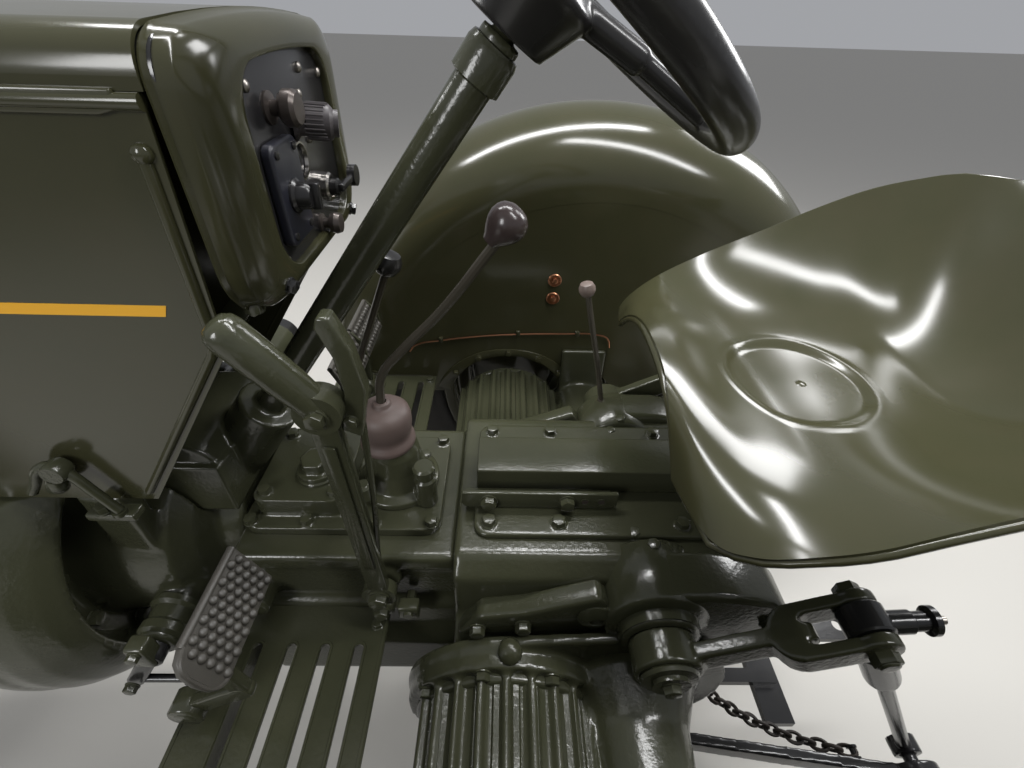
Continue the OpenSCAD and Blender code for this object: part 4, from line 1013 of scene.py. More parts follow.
@dataclass
class Fenders(Assembly):
    """Full fenders: flat inner wall, soft crease, arched crown and outer skirt.

    Attributes:
        wall_y: Distance of the inner wall from the centre line.
        lip_y: Distance of the outer lip.
        crease_r: Radius of the crease.
        crown_r: Radius of the crown.
        ends: Angles of the rear and front edges.
        axle_z: Height of the arc's middle.
        low_z: Lower edge of the wall.
        arch: Middle and radius of the arch over the brake housing.
        hub_r: Radius of the arch over the wheel's hub.
    """

    wall_y: float = 430.0
    lip_y: float = 712.0
    crease_r: float = 488.0
    crown_r: float = 615.0
    ends: Flat = (8.0, 172.0)
    axle_z: float = 565.0
    low_z: float = 586.0
    arch: Point = (-170.0, 548.0, 142.0)
    hub_r: float = 86.0

    def section(self) -> list[Flat]:
        """Gives the crown's outer side.

        Returns:
            Its points as distance from the axle and distance from the centre line.
        """
        mid = (self.wall_y + self.lip_y) / 2 + 10
        inward, outward = mid - self.wall_y, (self.lip_y - mid) / math.sin(math.radians(66))
        rise = self.crown_r - self.crease_r
        line = [(self.crease_r - 16, self.wall_y - 0.4), (self.crease_r - 6, self.wall_y - 0.2)]
        line += [(self.crease_r + rise * math.sin(a), mid - inward * math.cos(a))
                 for a in (math.radians(k) for k in range(2, 90, 4))]
        line += [(self.crease_r + rise * math.cos(a), mid + outward * math.sin(a))
                 for a in (math.radians(k) for k in range(0, 67, 3))]
        return line

    def around(self, r: float, y: float, angle: float) -> Point:
        """Gives a point on an arc round the axle.

        Args:
            r: Radius.
            y: Distance from the centre line.
            angle: Degrees above the level towards the rear.

        Returns:
            The point in millimetres.
        """
        a = math.radians(angle)
        return (r * math.cos(a), y, self.axle_z + r * math.sin(a))

    def build(self) -> None:
        """Builds both fenders."""
        line = self.section()
        first, last = self.ends
        steps = 84
        for side in Side:
            bm = bmesh.new()
            rings = [[self.around(r, side * y, first + (last - first) * k / steps) for r, y in line]
                     for k in range(steps + 1)]
            add_loft(bm, rings, closed=False)
            bmesh.ops.recalc_face_normals(bm, faces=bm.faces)
            crown = self.put("fender_crown_" + side.word, bm, "sheet",
                             stands_for=("fenders",) if side is Side.LEFT else (), sharp=60.0)
            thicken(crown, 3, -1.0 if self.faces_out(crown) else 1.0)
            self.add_wall(side)
            self.add_edges(side, line)

    def faces_out(self, crown: bpy.types.Object) -> bool:
        """Tells whether the crown's faces look away from the axle.

        Args:
            crown: The crown.

        Returns:
            True where most of its area does.
        """
        middle = Vector((AXLE_X, 0.0, self.axle_z * MM))
        total = 0.0
        for face in crown.data.polygons:
            away = face.center - middle
            away.y = 0.0
            total += face.normal.dot(away.normalized()) * face.area
        return total > 0

    def wall_outline(self) -> list[Flat]:
        """Gives the wall's outline, with the arches cut out of its lower edge.

        Returns:
            Its points as station and height.
        """
        x0, z0, r = self.arch
        start = math.degrees(math.asin((self.low_z - self.axle_z) / self.crease_r))
        top = [self.around(self.crease_r - 1, 0, start + (180 - 2 * start) * k / 60) for k in range(61)]
        line = [(p[0], p[2]) for p in top]
        dip = math.degrees(math.asin((self.low_z - z0) / r))
        line += [on_arc(x0, z0, r, 180 - dip - (180 - 2 * dip) * k / 28) for k in range(29)]
        low = math.degrees(math.asin((self.low_z - self.axle_z) / self.hub_r))
        meet = [on_arc(0, self.axle_z, self.hub_r, 180 - low - (180 - 2 * low) * k / 20) for k in range(21)]
        line += [p for p in meet if math.hypot(p[0] - x0, p[1] - z0) > r + 1]
        return line

    def add_wall(self, side: Side) -> None:
        """Adds the flat wall and the plate that stiffens its arch.

        Args:
            side: Its side.
        """
        bm = bmesh.new()
        outline = upright(side * self.wall_y, self.wall_outline())
        add_slab(bm, outline, push_y(side * 3))
        self.put("fender_wall_" + side.word, bm, "sheet")
        x0, z0, r = self.arch
        bm = bmesh.new()
        y = side * (self.wall_y - 0.2)
        angles = [18 + 144 * k / 40 for k in range(41)]
        inner = [on_arc(x0, z0, r + 3, a) for a in angles]
        outer = [on_arc(x0, z0, r + 19 + 12 * abs(a - 90) / 72, a) for a in reversed(angles)]
        outline = [(x, z) for x, z in inner + outer if z > self.low_z]
        add_slab(bm, upright(y, outline), push_y(-side * 4), 1.2 * MM)
        for a in (90, 64, 116, 40, 142):
            x, z = on_arc(x0, z0, r + 12, a)
            add_bolt(bm, spot(x, side * (self.wall_y - 4), z), (0, -side, 0), 12, 6, spin=a)
        self.put("arch_plate_" + side.word, bm, "sheet")

    def add_edges(self, side: Side, line: Sequence[Flat]) -> None:
        """Adds the rolled front and rear edges and the hem along the lip.

        Args:
            side: Its side.
            line: The crown's section.
        """
        bm = bmesh.new()
        first, last = self.ends
        for angle in (first + 0.6, last - 0.6):
            add_tube(bm, [spot(*self.around(r - 3, side * y, angle)) for r, y in line[1:-1]], 4 * MM, 10)
        r, y = line[-1]
        add_tube(bm, [spot(*self.around(r, side * (y - 2), first + (last - first) * k / 48)) for k in range(49)],
                 4.4 * MM, 10)
        self.put("fender_hem_" + side.word, bm, "sheet", sharp=60.0)


@dataclass
class FenderFittings(Assembly):
    """Copper pipe and the two lamp plugs on the right fender's wall.

    Attributes:
        wall_y: Distance of the wall from the centre line.
        pipe: Points that the pipe follows.
        clips: Places of its clips.
        plugs: Places of the plugs.
    """

    wall_y: float = 430.0
    pipe: Line = ((-392, 700), (-379, 716), (-320, 731), (-233, 744), (-150, 751), (-58, 754), (30, 752), (48, 744),
                  (56, 720))
    clips: Line = ((-320, 731), (-150, 751), (-20, 753))
    plugs: Line = ((-79, 880), (-80, 839))

    def build(self) -> None:
        """Builds the pipe, its clips and the plugs."""
        y = self.wall_y - 4
        bm = bmesh.new()
        add_tube(bm, upright(y, self.pipe), 1.8 * MM, 10)
        self.put("fender_pipe", bm, "copper")
        bm = bmesh.new()
        for x, z in self.clips:
            add_box(bm, spot(x - 5, y - 3, z - 4), spot(x + 5, y + 3.8, z + 9), 0.0012)
            add_bolt(bm, spot(x, y - 3, z + 5.5), LEFT, 6, 3, washer=False)
        self.put("pipe_clips", bm, "sheet")
        bm = bmesh.new()
        for x, z in self.plugs:
            add_lathe(bm, [(14, 0), (14, 2), (12.5, 3.4), (10, 3.4), (9.2, 2.2), (6.8, 2.2), (5.6, 6.4),
                           (3.4, 7.4), (0, 7.6)], spot(x, self.wall_y, z), LEFT, 28)
        self.put("fender_plugs", bm, "copper")


@dataclass
class Hood(Assembly):
    """Hinged hood: raised strips, ribs, the yellow line and the side latches.

    Attributes:
        half: Half of its width.
        rib: Points that a side panel's rib follows.
        line: Corners of the yellow line.
        strip: Corners of the raised strip along the hinge.
        hook: Points that a latch's hook follows.
    """

    half: float = 150.0
    rib: Line = ((-404, 1238), (-409, 1104), (-415, 1090), (-540, 918))
    line: Line = ((-800, 1134), (-434, 1134), (-438, 1124.5), (-800, 1124.5))
    strip: Line = ((-1490, 1261), (-418, 1261), (-406, 1264), (-406, 1275), (-1490, 1276))
    hook: Line = ((-641, 930), (-630, 944), (-618, 962), (-604, 968), (-594, 960), (-580, 928), (-570, 902))

    def build(self) -> None:
        """Builds the trim of both sides."""
        for side in Side:
            body = "hood_side_" + side.word
            bm = bmesh.new()
            add_tube(bm, upright(side * (self.half + 0.5), self.rib), 4.2 * MM, 12, smooth=False)
            add_lathe(bm, [(6.5, -1), (6.4, 2.4), (4.8, 4.6), (0, 5.4)], spot(-404, side * self.half, 1240),
                      (0, side, 0), 20)
            self.put("hood_rib_" + side.word, bm, "sheet", body, sharp=60.0)
            bm = bmesh.new()
            add_slab(bm, upright(side * self.half, self.line), push_y(side * 0.35))
            self.put("hood_line_" + side.word, bm, "stripe", body)
            self.add_latch(side, body)
            bm = bmesh.new()
            add_slab(bm, upright(side * (self.half - 1), self.strip), push_y(side * 4.4), 1.6 * MM, 3)
            self.put("hood_strip_" + side.word, bm, "sheet")

    def add_latch(self, side: Side, body: str) -> None:
        """Adds the latch at the foot of a side panel.

        Args:
            side: Its side.
            body: The body that it rides on.
        """
        y = side * (self.half + 13)
        bm = bmesh.new()
        add_tube(bm, upright(y, self.hook), 5.0 * MM, 14)
        add_lathe(bm, [(0, -8), (10, -8), (11.5, -5), (11.5, 5), (10, 8), (0, 8)], spot(-600, y, 962), RIGHT, 24)
        add_lathe(bm, [(0, 0), (8, 0), (9, 3), (9, 15), (7, 18), (0, 18)], spot(-606, y, 952), (-0.4, 0, -1), 24)
        self.put("latch_hook_" + side.word, bm, "cast", body, sharp=50.0)
        bm = bmesh.new()
        low, high = sorted((y + side * 4, side * self.half))
        add_box(bm, spot(-606, low, 888), spot(-556, high, 898), 0.002)
        add_bolt(bm, spot(-588, y - side * 3, 898), UP, 13, 7)
        add_lathe(bm, [(0, 0), (7, 0), (7, 5), (0, 5)], spot(-571, y, 897), UP, 20)
        self.put("latch_foot_" + side.word, bm, "cast", body)


@dataclass
class Cowl(Assembly):
    """Rounded cowl behind the hood, its bulkhead and its two struts.

    Attributes:
        half: Half of its width.
        crown_z: Height of its crown.
        low_z: Height of its lower edge.
        front: Station of its front edge.
        rear: Station of its rear face.
        mouth: Half width, lowest and highest point and corner radius of the opening.
        steps: Steps of the rounding from its front edge to its rear face.
        panel: Station of the bulkhead's panel.
        strut_y: Distance of the struts from the centre line.
        strut: Corners of a strut.
    """

    half: float = 150.0
    crown_z: float = 1312.0
    low_z: float = 1110.0
    front: float = -386.0
    rear: float = -360.0
    mouth: tuple[float, float, float, float] = (94.0, 1133.0, 1285.0, 36.0)
    steps: int = 14
    panel: float = -388.0
    strut_y: float = 118.0
    strut: Line = ((-372, 1130), (-398, 1130), (-650, 881), (-618, 881))

    def build(self) -> None:
        """Builds the cowl."""
        outer = rounded_outline(self.half, self.low_z, self.crown_z, 50, 30, 6)
        half, low, high, r = self.mouth
        inner = rounded_outline(half, low, high, r, r, 2)
        rings: list[list[Point]] = [[(self.front, y, z) for y, z in outer]]
        for k in range(self.steps + 1):
            a = math.radians(22 + 68 * k / self.steps)
            share = (1 - math.cos(a)) * 0.86
            x = self.front + (self.rear - self.front) * math.sin(a) if k else self.front + 2
            rings.append([(x, yo + (yi - yo) * share, zo + (zi - zo) * share)
                          for (yo, zo), (yi, zi) in zip(outer, inner)])
        for share, x in ((0.93, self.rear), (0.98, self.rear - 0.6), (1.0, self.rear - 2.4), (1.0, self.rear - 9)):
            rings.append([(x, yo + (yi - yo) * share, zo + (zi - zo) * share)
                          for (yo, zo), (yi, zi) in zip(outer, inner)])
        bm = bmesh.new()
        add_loft(bm, rings)
        shell = self.put("cowl_shell", bm, "sheet", stands_for=("cowl",), sharp=50.0)
        thicken(shell, 2.6)
        bm = bmesh.new()
        for side in Side:
            y = side * self.strut_y
            add_slab(bm, upright(y - 3, self.strut), push_y(6), 1.4 * MM)
            add_bolt(bm, spot(-384, y + side * 3, 1120), (0, side, 0), 13, 6)
            add_bolt(bm, spot(-622, y + side * 3, 890), (0, side, 0), 13, 6)
        self.put("cowl_struts", bm, "cast")
        bm = bmesh.new()
        rim = rounded_outline(self.half - 6, self.low_z + 6, self.crown_z - 5, 46, 26, 6)
        hole = rounded_outline(118, 1134, 1288, 30, 20, 3)
        add_loft(bm, [[(self.panel, y, z) for y, z in line] for line in (rim, hole)])
        panel = self.put("bulkhead_panel", bm, "black", sharp=50.0)
        thicken(panel, 3)
        bm = bmesh.new()
        ring = rounded_outline(self.half - 4, 1262, self.crown_z - 4, 4, 24, 6)
        arch = [p for p in ring if p[1] > 1276]
        add_loft(bm, [[(x, y, z) for y, z in arch] for x in (-412, -382)], closed=False)
        shelf = self.put("hood_rest", bm, "black", sharp=50.0)
        thicken(shelf, 3, 1.0 if shelf.data.polygons[len(shelf.data.polygons) // 2].normal.z < 0 else -1.0)
        bm = bmesh.new()
        add_bolt(bm, spot(-363, -98, 1127), (1, -0.25, -0.3), 11, 5)
        add_bolt(bm, spot(-363, 98, 1127), (1, 0.25, -0.3), 11, 5)
        self.put("cowl_bolts", bm, "black")


@dataclass
class Dash(Assembly):
    """Glossy dash plate with its knobs, switches, gauge rings and screws.

    Attributes:
        face: Station of its face.
        half: Half of its width.
        low_z: Its lowest height.
        high_z: Its highest height.
        screws: Places of the screws as y and z.
    """

    face: float = -367.0
    half: float = 101.0
    low_z: float = 1127.0
    high_z: float = 1289.0
    screws: Line = ((37, 1270), (25, 1251), (28, 1215), (70, 1128), (-72, 1268), (84, 1262), (-80, 1140))

    def build(self) -> None:
        """Builds the plate and what is on it."""
        bm = bmesh.new()
        outline = rounded_outline(self.half, self.low_z, self.high_z, 38, 38, 2)
        add_slab(bm, [spot(self.face - 5, y, z) for y, z in outline], Vector((5 * MM, 0, 0)), 1 * MM)
        self.put("dash_plate", bm, "dash", stands_for=("dash_panel",))
        self.add_switch_plate()
        self.add_knobs()
        bm = bmesh.new()
        for y, z in self.screws:
            add_lathe(bm, [(4.4, 0), (4.2, 1.6), (2.6, 2.8), (0, 3.1)], spot(self.face, y, z), BACK, 20)
        self.put("dash_screws", bm, "steel")

    def add_switch_plate(self) -> None:
        """Adds the tall plate with its rotary switch."""
        bm = bmesh.new()
        outline = [(y - 52, z) for y, z in rounded_outline(27, 1150, 1230, 9, 9, 0)]
        add_slab(bm, [spot(self.face, y, z) for y, z in outline], Vector((9 * MM, 0, 0)), 2.5 * MM, 4)
        self.put("switch_plate", bm, "plate")
        bm = bmesh.new()
        add_lathe(bm, [(14, 0), (14, 3), (11.5, 5), (10.5, 14), (9, 16), (0, 16.5)], spot(self.face + 8, -53, 1187),
                  BACK, 30)
        add_box(bm, spot(self.face + 22, -56, 1176), spot(self.face + 30, -50, 1198), 0.0016)
        for y, z in ((-70, 1222), (-34, 1222), (-70, 1158), (-34, 1158)):
            add_lathe(bm, [(3.6, 0), (3.4, 1.4), (0, 2.2)], spot(self.face + 8.8, y, z), BACK, 16)
        self.put("switch_knob", bm, "dash")

    def add_knobs(self) -> None:
        """Adds the pulls, the turned cap, the gauge ring and the key switch."""
        face = self.face
        bm = bmesh.new()
        add_lathe(bm, [(12, 0), (12, 2), (6, 3), (6, 9), (11, 11), (13.5, 14), (13.5, 21), (11, 24), (0, 25)],
                  spot(face, -42, 1250), BACK, 32)
        add_lathe(bm, [(9, 0), (9, 2), (5, 3), (5, 8), (9, 10), (10.5, 15), (9, 20), (0, 22)],
                  spot(face, 14, 1140), BACK, 28)
        self.put("dash_pulls", bm, "steel_dark")
        bm = bmesh.new()
        add_lathe(bm, [(15, 0), (15, 3), (12, 4.5), (12, 10), (14.5, 11), (14.5, 30), (12.5, 32), (11, 33), (11, 37),
                       (0, 37.5)], spot(face, 2, 1234), (1, 0.28, -0.1), 36)
        for y, z, _ in ring_of(24, 14.5):
            off = Vector((0, y * MM, z * MM))
            add_tube(bm, [spot(face + 13, 2, 1234) + off, spot(face + 29, 6.6, 1232.4) + off], 0.8 * MM, 6,
                     smooth=False)
        self.put("dash_turned_cap", bm, "cap")
        bm = bmesh.new()
        add_lathe(bm, [(17, 0), (17, 4), (15.5, 6), (14, 6), (13, 3)], spot(face, -14, 1205), BACK, 36)
        add_lathe(bm, [(12, 0), (12, 4), (10.5, 5.6), (9.4, 5.6), (8.6, 3)], spot(face, -12, 1172), BACK, 32)
        add_lathe(bm, [(14, 0), (14, 5), (12, 7), (10, 7), (9.4, 5), (0, 5)], spot(face, 46, 1166), BACK, 32)
        self.put("gauge_rings", bm, "chrome")
        bm = bmesh.new()
        add_lathe(bm, [(13.6, 2.4), (0, 3.6)], spot(face, -14, 1205), BACK, 36)
        add_lathe(bm, [(9, 2.6), (0, 3.6)], spot(face, -12, 1172), BACK, 32)
        self.put("gauge_faces", bm, "dial")
        bm = bmesh.new()
        add_lathe(bm, [(8.5, 4), (8.5, 13), (7, 15), (0, 15.4)], spot(face, 46, 1166), BACK, 24)
        add_box(bm, spot(face + 14, 41, 1162), spot(face + 20, 92, 1170), 0.002)
        add_lathe(bm, [(0, -4), (11, -4), (11, 4), (0, 4)], spot(face + 17, 90, 1166), BACK, 24)
        self.put("key_switch", bm, "dash")


@dataclass
class GearControls(Assembly):
    """Main gear lever in its boot, the range lever and the lift's lever.

    Attributes:
        top_z: Height of the gearbox's top face.
        gear: Points that the main gear lever follows above its boot.
        lift: Points that the lift's lever follows.
        lift_y: Distance of the lift's lever from the centre line.
        shift: Points that the range lever follows.
        shift_y: Distance of the range lever from the centre line.
        tilt: How far the main lever's knob leans, in degrees.
    """

    top_z: float = 752.0
    gear: Line = ((-336, 890), (-336, 924), (-330, 956), (-300, 995), (-250, 1049), (-190, 1128))
    lift: Line = ((-6, 765), (-24, 850), (-44, 930), (-57, 984))
    lift_y: float = 172.0
    shift: Line = ((-424, 800), (-404, 856), (-370, 946), (-320, 1068))
    shift_y: float = 48.0
    tilt: float = 42.0

    def build(self) -> None:
        """Builds the levers with their boot and knobs."""
        self.add_gear_lever()
        self.add_small_levers()

    def add_gear_lever(self) -> None:
        """Adds the main gear lever, its boot and its knob."""
        bm = bmesh.new()
        add_lathe(bm, [(36, 0), (37, 3), (36.4, 8), (33, 12), (31.5, 18), (33.5, 24), (35, 34), (35, 46),
                       (33, 54), (27, 60), (18, 63), (13, 63.5), (11.5, 65), (11.5, 69), (9.5, 71), (6.4, 71)],
                  spot(-336, 0, self.top_z + 93), UP, 48)
        self.put("gear_boot", bm, "boot", stands_for=("shift_boot",), sharp=60.0)
        bm = bmesh.new()
        add_tube(bm, upright(0, self.gear), 5.8 * MM, 16)
        self.put("gear_lever", bm, "lever", stands_for=("gear_levers",))
        bm = bmesh.new()
        a = math.radians(self.tilt)
        add_lathe(bm, [(6.2, -18), (8.5, -17), (10.5, -13), (15.5, -6), (19.6, 2), (21, 9), (20, 16), (16.6, 22),
                       (10, 26.4), (0, 28)], spot(-185, 0, 1142), (math.sin(a), 0, math.cos(a)), 40)
        self.put("gear_knob", bm, "knob", stands_for=("lever_knobs",))

    def add_small_levers(self) -> None:
        """Adds the lift's lever and the range lever with their feet and knobs."""
        bm = bmesh.new()
        add_tube(bm, upright(self.lift_y, self.lift), 4.6 * MM, 14)
        add_tube(bm, upright(self.shift_y, self.shift), 4.6 * MM, 14)
        add_lathe(bm, [(13, 0), (13, 6), (9, 10), (9, 15), (0, 15)], spot(-6, self.lift_y, 767), UP, 28)
        add_lathe(bm, [(10, 0), (10, 5), (7, 8), (7, 12), (0, 12)], spot(-424, self.shift_y, 798), UP, 28)
        self.put("small_levers", bm, "lever")
        bm = bmesh.new()
        add_lathe(bm, [(5, -12), (9, -9.5), (12.4, -3), (12.4, 3), (9.5, 9), (0, 12.4)],
                  spot(-59, self.lift_y, 992), (-0.2, 0, 1), 32)
        self.put("lift_knob", bm, "grip")
        bm = bmesh.new()
        add_lathe(bm, [(6, -15), (12, -11), (16, -3), (16, 4), (12.5, 11.5), (0, 16)],
                  spot(-315, self.shift_y, 1082), (0.35, 0, 1), 32)
        self.put("range_knob", bm, "rim")


@dataclass
class HandLever(Assembly):
    """Hand lever on the gearbox's side with its grip, fork and trigger.

    Attributes:
        foot: Its pivot.
        fork: Where the grip starts.
        grip_end: End of the grip.
        trigger: Corners of the trigger below the grip.
    """

    foot: Point = (-338.0, -140.0, 706.0)
    fork: Point = (-316.0, -200.0, 1078.0)
    grip_end: Point = (-362.0, -208.0, 1152.0)
    trigger: Line = ((-306, 1054), (-297, 1090), (-299, 1122), (-307, 1146), (-304, 1154), (-296, 1154),
                     (-286, 1128), (-281, 1092), (-291, 1046))

    def build(self) -> None:
        """Builds the lever."""
        foot, fork = spot(*self.foot), spot(*self.fork)
        self.add_bar(foot, fork)
        self.add_grip(fork)
        self.add_rod(foot)

    def add_bar(self, foot: Vector, fork: Vector) -> None:
        """Adds the flat bar with its two eyes.

        Args:
            foot: The lever's pivot.
            fork: Where the grip starts.
        """
        bm = bmesh.new()
        along = (fork - foot).normalized()
        side = Vector(BACK) - along * along.x
        side.normalize()
        out = along.cross(side)
        if out.y > 0:
            out = -out
        corners = [foot - side * 0.013, foot + side * 0.013, fork + side * 0.011, fork - side * 0.011]
        add_slab(bm, [c - out * 0.006 for c in corners], out * 0.012, 1.6 * MM, 3)
        low, high = foot + along * 0.09, fork - along * 0.04
        rib = [low - side * 0.006, low + side * 0.006, high + side * 0.005, high - side * 0.005]
        add_slab(bm, [c + out * 0.006 for c in rib], out * 0.003, 1.2 * MM, 2)
        add_lathe(bm, [(0, -10), (18, -10), (18, 10), (0, 10)], fork, RIGHT, 32)
        add_lathe(bm, [(0, -9), (22, -9), (22, 7), (0, 7)], foot, RIGHT, 36)
        self.put("hand_lever_bar", bm, "cast", stands_for=("hand_lever",))

    def add_grip(self, fork: Vector) -> None:
        """Adds the grip and the trigger below it.

        Args:
            fork: Where the grip starts.
        """
        bm = bmesh.new()
        axis = (spot(*self.grip_end) - fork).normalized()
        add_lathe(bm, [(0, -14), (11, -12), (13, -4), (12.4, 10), (13.6, 30), (14, 56), (14, 82), (12.5, 88),
                       (8.5, 92), (0, 93.5)], fork, axis, 36)
        self.put("hand_lever_grip", bm, "cast", sharp=60.0)
        bm = bmesh.new()
        add_slab(bm, upright(-198, self.trigger), push_y(15), 2.2 * MM, 4)
        add_bolt(bm, fork + Vector((0.0, -0.010, 0.0)), LEFT, 13, 6)
        add_bolt(bm, spot(-296, -197, 1064), LEFT, 9, 4)
        self.put("hand_lever_trigger", bm, "cast")

    def add_rod(self, foot: Vector) -> None:
        """Adds the rod along the bar and the latch at its foot.

        Args:
            foot: The lever's pivot.
        """
        bm = bmesh.new()
        add_tube(bm, [spot(-292, -186, 1060), spot(-306, -168, 930), spot(-326, -150, 780), spot(-330, -146, 732)],
                 3.2 * MM, 12)
        add_bolt(bm, foot + Vector((0, -0.009, 0)), LEFT, 22, 10)
        self.put("hand_lever_rod", bm, "cast")
        bm = bmesh.new()
        add_box(bm, spot(-352, -152, 664), spot(-322, -128, 690), 0.004)
        add_box(bm, spot(-318, -150, 650), spot(-290, -132, 676), 0.003)
        add_bolt(bm, spot(-337, -152, 677), LEFT, 17, 8)
        add_tube(bm, [spot(-304, -154, 663), spot(-304, -118, 663)], 7 * MM, 14, smooth=False)
        self.put("hand_lever_latch", bm, "cast")


@dataclass
class Pedals(Assembly):
    """Clutch and brake pedals with their studded pads.

    Attributes:
        slope: Slope of the pads from level, leaning to the front.
        size: Length up the slope and width of a pad.
        pad_z: Height of the pads' middles.
        clutch: Station and height of the clutch pedal's shaft.
        brake: Station and height of the brake pedals' shaft.
        brake_y: Distances of the two brake pedals from the centre line.
    """

    slope: float = 113.4
    size: Flat = (66.0, 115.0)
    pad_z: float = 811.0
    clutch: Flat = (-535.0, 672.0)
    brake: Flat = (-470.0, 672.0)
    brake_y: Flat = (222.0, 342.0)

    def build(self) -> None:
        """Builds the levers and the pads."""
        self.add_clutch()
        self.add_brakes()
        self.add_pad("clutch_pad", -463.0, -222.0, 5, 11, True)
        for name, y in zip(("brake_pad_inner", "brake_pad_outer"), self.brake_y):
            self.add_pad(name, -452.0, y, 4, 9, False)

    def add_bar(self, bm: bmesh.types.BMesh, y: float, start: Flat, end: Flat, wide: float, thick: float) -> None:
        """Adds a flat bar with round ends, upright along the tractor.

        Args:
            bm: The mesh that gets it.
            y: Its middle, from the centre line.
            start: Station and height of one end.
            end: Station and height of the other end.
            wide: Its width.
            thick: Its thickness.
        """
        slant = math.atan2(end[1] - start[1], end[0] - start[0])
        outline = []
        for (x, z), first in ((end, -90), (start, 90)):
            for a in range(first, first + 181, 30):
                turn = slant + math.radians(a)
                outline.append(spot(x + wide / 2 * math.cos(turn), y - thick / 2, z + wide / 2 * math.sin(turn)))
        add_slab(bm, outline, push_y(thick), 0.24 * thick * MM, 3)

    def add_clutch(self) -> None:
        """Adds the clutch pedal's lever, its shaft and the rod to the release shaft."""
        x, z = self.clutch
        bm = bmesh.new()
        add_lathe(bm, [(0, -277), (11, -277), (13, -275), (13, -150), (0, -150)], spot(x, 0, z), RIGHT, 32)
        add_lathe(bm, [(0, -276), (18, -276), (20, -274), (20, -250), (18, -248), (0, -248)], spot(x, 0, z),
                  RIGHT, 36)
        self.add_bar(bm, -262, (x, z), (-458, 724), 24, 14)
        self.add_bar(bm, -262, (-458, 724), (-474, 800), 22, 13)
        self.add_bar(bm, -246, (-467, 790), (-480, 820), 13, 58)
        self.put("clutch_lever", bm, "cast", stands_for=("clutch_pedal",), sharp=50.0)
        bm = bmesh.new()
        add_lathe(bm, [(0, -224), (19, -224), (21, -222), (21, -202), (19, -200), (0, -200)], spot(x, 0, z),
                  RIGHT, 36)
        self.add_bar(bm, -212, (x, z), (-547, 614), 20, 10)
        for y in (-222, -202):
            self.add_bar(bm, y, (-547, 614), (-572, 613), 17, 4)
        add_box(bm, spot(-584, -223, 605), spot(-566, -201, 621), 0.002)
        add_bolt(bm, spot(-547, -225, 614), LEFT, 13, 6)
        add_tube(bm, [spot(-580, -212, 613), spot(-660, -212, 612)], 5.5 * MM, 14, smooth=False)
        self.add_bar(bm, -212, (-655, 610), (-600, 690), 21, 11)
        add_lathe(bm, [(0, -223), (14, -223), (16, -221), (16, -205), (0, -204)], spot(-600, 0, 690), RIGHT, 32)
        self.put("clutch_linkage", bm, "black", sharp=50.0)

    def add_brakes(self) -> None:
        """Adds the levers of the two brake pedals on their shaft."""
        x, z = self.brake
        bm = bmesh.new()
        add_lathe(bm, [(0, 150), (13, 150), (13, 364), (11, 366), (0, 366)], spot(x, 0, z), RIGHT, 32)
        for y in self.brake_y:
            add_lathe(bm, [(0, y - 20), (16, y - 20), (18, y - 18), (18, y + 10), (16, y + 12), (0, y + 12)],
                      spot(x, 0, z), RIGHT, 36)
            self.add_bar(bm, y, (x, z), (-467, 798), 23, 14)
            self.add_bar(bm, y, (-456, 790), (-470, 822), 13, 58)
        self.put("brake_levers", bm, "cast", stands_for=("brake_pedals",), sharp=50.0)

    def add_pad(self, name: str, x: float, y: float, columns: int, rows: int, crescent: bool) -> None:
        """Adds a pad with its studs and its edges.

        Args:
            name: The pad's name.
            x: Station of its middle.
            y: Distance from the centre line.
            columns: Studs up the slope.
            rows: Studs across.
            crescent: Whether the studs are tilted and staggered, as on the clutch.
        """
        long, wide = self.size[0] / 2, self.size[1] / 2
        a = math.radians(self.slope)
        up = Vector((math.cos(a), 0, math.sin(a)))
        out = Vector((math.sin(a), 0, -math.cos(a)))
        aside = Vector(RIGHT)
        middle = spot(x, y, self.pad_z)

        def on_pad(u: float, v: float, h: float) -> Vector:
            """Gives a point of the pad, from millimetres up, across and out of its middle."""
            return middle + (up * u + aside * v + out * h) * MM

        near = [(long, -wide + 8), (long - 4, -wide - 4), (long - 14, -wide - 11), (0, -wide - 13),
                (14 - long, -wide - 11), (4 - long, -wide - 4), (-long, -wide + 8)] if crescent else [
                    (long, -wide), (-long, -wide)]
        bm = bmesh.new()
        add_slab(bm, [on_pad(u, v, -6) for u, v in (*near, (-long, wide), (long, wide))], out * (9 * MM), 2.4 * MM, 4)
        add_tube(bm, [on_pad(long - 1, near[0][1], -1), on_pad(long - 1, wide - 1, -1)], 4.6 * MM, 14)
        axis = out + up * (0.55 if crescent else 0.0)
        stud = [(0, -3), (5.3, -3), (5.1, 1.8), (4.2, 3.4), (2.4, 4.2), (0, 4.4)]
        for i in range(rows):
            for j in range(columns):
                u = ((j + 0.5 + (0.25 if i % 2 else -0.25) * crescent) / columns - 0.5) * (2 * long - 8)
                v = ((i + 0.5) / rows - 0.5) * (2 * wide - 7)
                add_lathe(bm, stud, on_pad(u, v, 2.6), axis, 14)
        if crescent:
            add_tube(bm, [on_pad(u, v, 3) for u, v in [(u * 0.93, v + 2) for u, v in near]], 2.2 * MM, 10)
        self.put(name, bm, "rubber", sharp=50.0)
        if crescent:
            return
        bm = bmesh.new()
        add_slab(bm, [on_pad(u, wide + 1, h) for u, h in ((-31, -12), (31, -12), (31, 2), (8, 9), (-4, 9), (-31, 2))],
                 aside * (5 * MM), 1.6 * MM, 3)
        self.put(name + "_end", bm, "cast")


